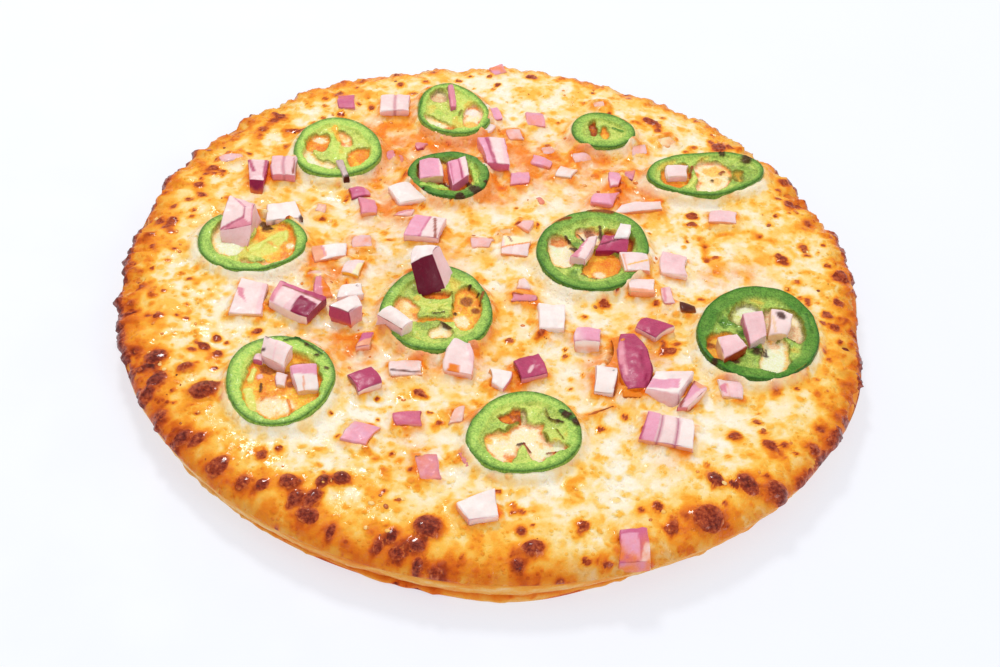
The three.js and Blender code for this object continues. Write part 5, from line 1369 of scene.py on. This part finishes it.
def strewTree():
    tree = bpy.data.node_groups.new("strewOverSurface", "GeometryNodeTree")
    for label, kind in strewInputs.items():
        tree.interface.new_socket(label, in_out="INPUT", socket_type="NodeSocket" + kind)
    tree.interface.new_socket("Pieces", in_out="OUTPUT", socket_type="NodeSocketGeometry")

    def node(kind, settings=None, links=None):
        made = tree.nodes.new(kind)
        for key, value in (settings or {}).items():
            setattr(made, key, value)
        for key, value in (links or {}).items():
            if isinstance(value, bpy.types.NodeSocket):
                tree.links.new(value, made.inputs[key])
            else:
                made.inputs[key].default_value = value
        return made

    def times(a, b):
        return node("ShaderNodeMath", {"operation": "MULTIPLY"}, {0: a, 1: b}).outputs[0]

    def drawn(low, high, seed):  # one random number for each piece
        given = {2: low, 3: high, "Seed": seed}
        return node("FunctionNodeRandomValue", {"data_type": "FLOAT"}, given).outputs[1]

    given = node("NodeGroupInput").outputs
    points = node("GeometryNodeDistributePointsOnFaces", {"distribute_method": "RANDOM"}, {
        "Mesh": given["Surface"], "Seed": given["Seed"], "Density": times(given["Density"], given["Amount"])})
    ball = node("GeometryNodeMeshUVSphere", None, {
        "Segments": given["Segments"], "Rings": given["Rings"], "Radius": 1.0})
    size = drawn(given["Smallest"], given["Largest"], given["Seed"])
    shape = node("ShaderNodeCombineXYZ", None, {
        0: size, 1: times(size, drawn(0.7, 1.6, 77)), 2: times(size, given["Flat"])})
    placed = node("GeometryNodeInstanceOnPoints", None, {
        "Points": points.outputs["Points"], "Instance": ball.outputs["Mesh"],
        "Rotation": points.outputs["Rotation"], "Scale": shape.outputs[0]})
    turn = node("FunctionNodeRandomValue", {"data_type": "FLOAT_VECTOR"}, {
        0: (0, 0, 0), 1: (0, 0, 6.28), "Seed": 31}).outputs[0]
    turned = node("GeometryNodeRotateInstances", None, {"Instances": placed.outputs[0], "Rotation": turn})
    toned = node("GeometryNodeStoreNamedAttribute", {"data_type": "FLOAT", "domain": "INSTANCE"}, {
        "Geometry": turned.outputs[0], "Name": "tone", "Value": drawn(0.0, 1.0, 55)})
    real = node("GeometryNodeRealizeInstances", None, {"Geometry": toned.outputs[0]})
    smooth = node("GeometryNodeSetShadeSmooth", None, {"Geometry": real.outputs[0]})
    coated = node("GeometryNodeSetMaterial", None, {
        "Geometry": smooth.outputs[0], "Material": given["Material"]})
    node("NodeGroupOutput", None, {"Pieces": coated.outputs[0]})
    return tree


def strewnFinish(name, look):
    f = Finish(name, Subsurface_Weight=0.1, Subsurface_Scale=0.001, IOR=1.45, Coat_Roughness=0.08,
               Specular_IOR_Level=0.3, Roughness=look["rough"], Coat_Weight=look["coat"])
    grainy = f.noise(0.5, 2, 0.6)
    tone = f.reading("tone") + (grainy - 0.5) * 0.3
    f.feed("Base Color", f.ramp(tone, [(at, shade(*rgb)) for at, rgb in look["stops"]]))
    return f.material


def strew(name, look, surface, tree):
    holder = linked("strewHolder", surface.data.copy())
    modifier = holder.modifiers.new("strew", "NODES")
    modifier.node_group = tree
    given = {key.capitalize(): value for key, value in look.items() if key.capitalize() in strewInputs}
    given["Material"] = strewnFinish(name, look)
    for item in tree.interface.items_tree:
        if item.name in given and item.in_out == "INPUT":
            modifier[item.identifier] = given[item.name]
        if item.name == "Amount":
            modifier[item.identifier + "_use_attribute"] = True
            modifier[item.identifier + "_attribute_name"] = look["field"]
    evaluated = holder.evaluated_get(bpy.context.evaluated_depsgraph_get())
    mesh = bpy.data.meshes.new_from_object(evaluated)
    bpy.data.objects.remove(holder)
    mesh.name = name
    piece = linked(name, mesh)
    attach(piece, "root")
    print(name, len(mesh.polygons))


# stage and light

stage = {"floor": (150, 152, 156), "glow": (0.89, 0.92, 1.0), "glowStrength": 0.67, "sky": (1.0, 0.985, 0.97),
         "skyStrength": 0.72, "lamps": [((-0.2, 0.5, 0.8), 0.2, 3.3), ((0.5, -0.5, 0.7), 0.4, 1.1)]}


def buildStage():
    f = Finish("paleTable", IOR=1.4)
    f.feed("Base Color", f.mixed(shade(*stage["floor"]), shade(154, 156, 160), f.noise(60, 2, 0.5)))
    f.shader.inputs["Emission Color"].default_value = (*stage["glow"], 1)
    f.shader.inputs["Emission Strength"].default_value = stage["glowStrength"]
    f.feed("Roughness", f.between(f.noise(25, 2, 0.5), 0.3, 0.7, 0.55, 0.7))
    mesh = bpy.data.meshes.new("table")
    mesh.from_pydata([(-3, -3, 0), (3, -3, 0), (3, 3, 0), (-3, 3, 0)], [], [(0, 1, 2, 3)])
    mesh.materials.append(f.material)
    linked("table", mesh)
    world = bpy.data.worlds.new("studio")
    bpy.context.scene.world = world
    world.use_nodes = True
    world.node_tree.nodes["Background"].inputs["Color"].default_value = (*stage["sky"], 1)
    world.node_tree.nodes["Background"].inputs["Strength"].default_value = stage["skyStrength"]
    for place, size, power in stage["lamps"]:
        data = bpy.data.lights.new("softbox", "AREA")
        data.shape = "DISK"
        data.size = size
        data.energy = power
        lamp = linked("softbox", data)
        lamp.location = place
        lamp.rotation_euler = (-Vector(place)).to_track_quat("-Z", "Y").to_euler()
    bpy.context.scene.view_settings.view_transform = "Standard"


# build

slots = {node: shown.data.materials[0].name for node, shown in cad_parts.items()}

footprints = [{**ring, "green": True} for ring in pepperSlices]
footprints += [{**onionMark(piece), "oil": onionForm["oil"]} for piece in onions]
footprints += [{**onionMark(piece), "oil": onionForm["bakedOil"]} for piece in bakedBits]

buildStage()
buildBread(crustFinish())
print("bread built")
meltedCheese = buildCheese(footprints, cheeseFinish())
print("cheese built")
strewing = strewTree()
for name, look in strewn.items():
    strew(name, look, meltedCheese, strewing)
greenPepper = pepperFinish()
for number, ring in enumerate(pepperSlices, 1):
    buildRing(number, ring, greenPepper)
print("pepper rings built")
onionFinishes = {
    "onion_white": onionFinish("whiteOnion", 0.34, 0.2), "onion_pale": onionFinish("paleOnion", 0.34, 0.2),
    "onion_pink": onionFinish("pinkOnion", 0.32, 0.16), "onion_purple": onionFinish("purpleOnion", 0.28, 0.1),
    "onion_dark": onionFinish("darkOnionSkin", 0.24, 0.05),
}
buildOnions(onionFinishes, slots)
print("onion built")
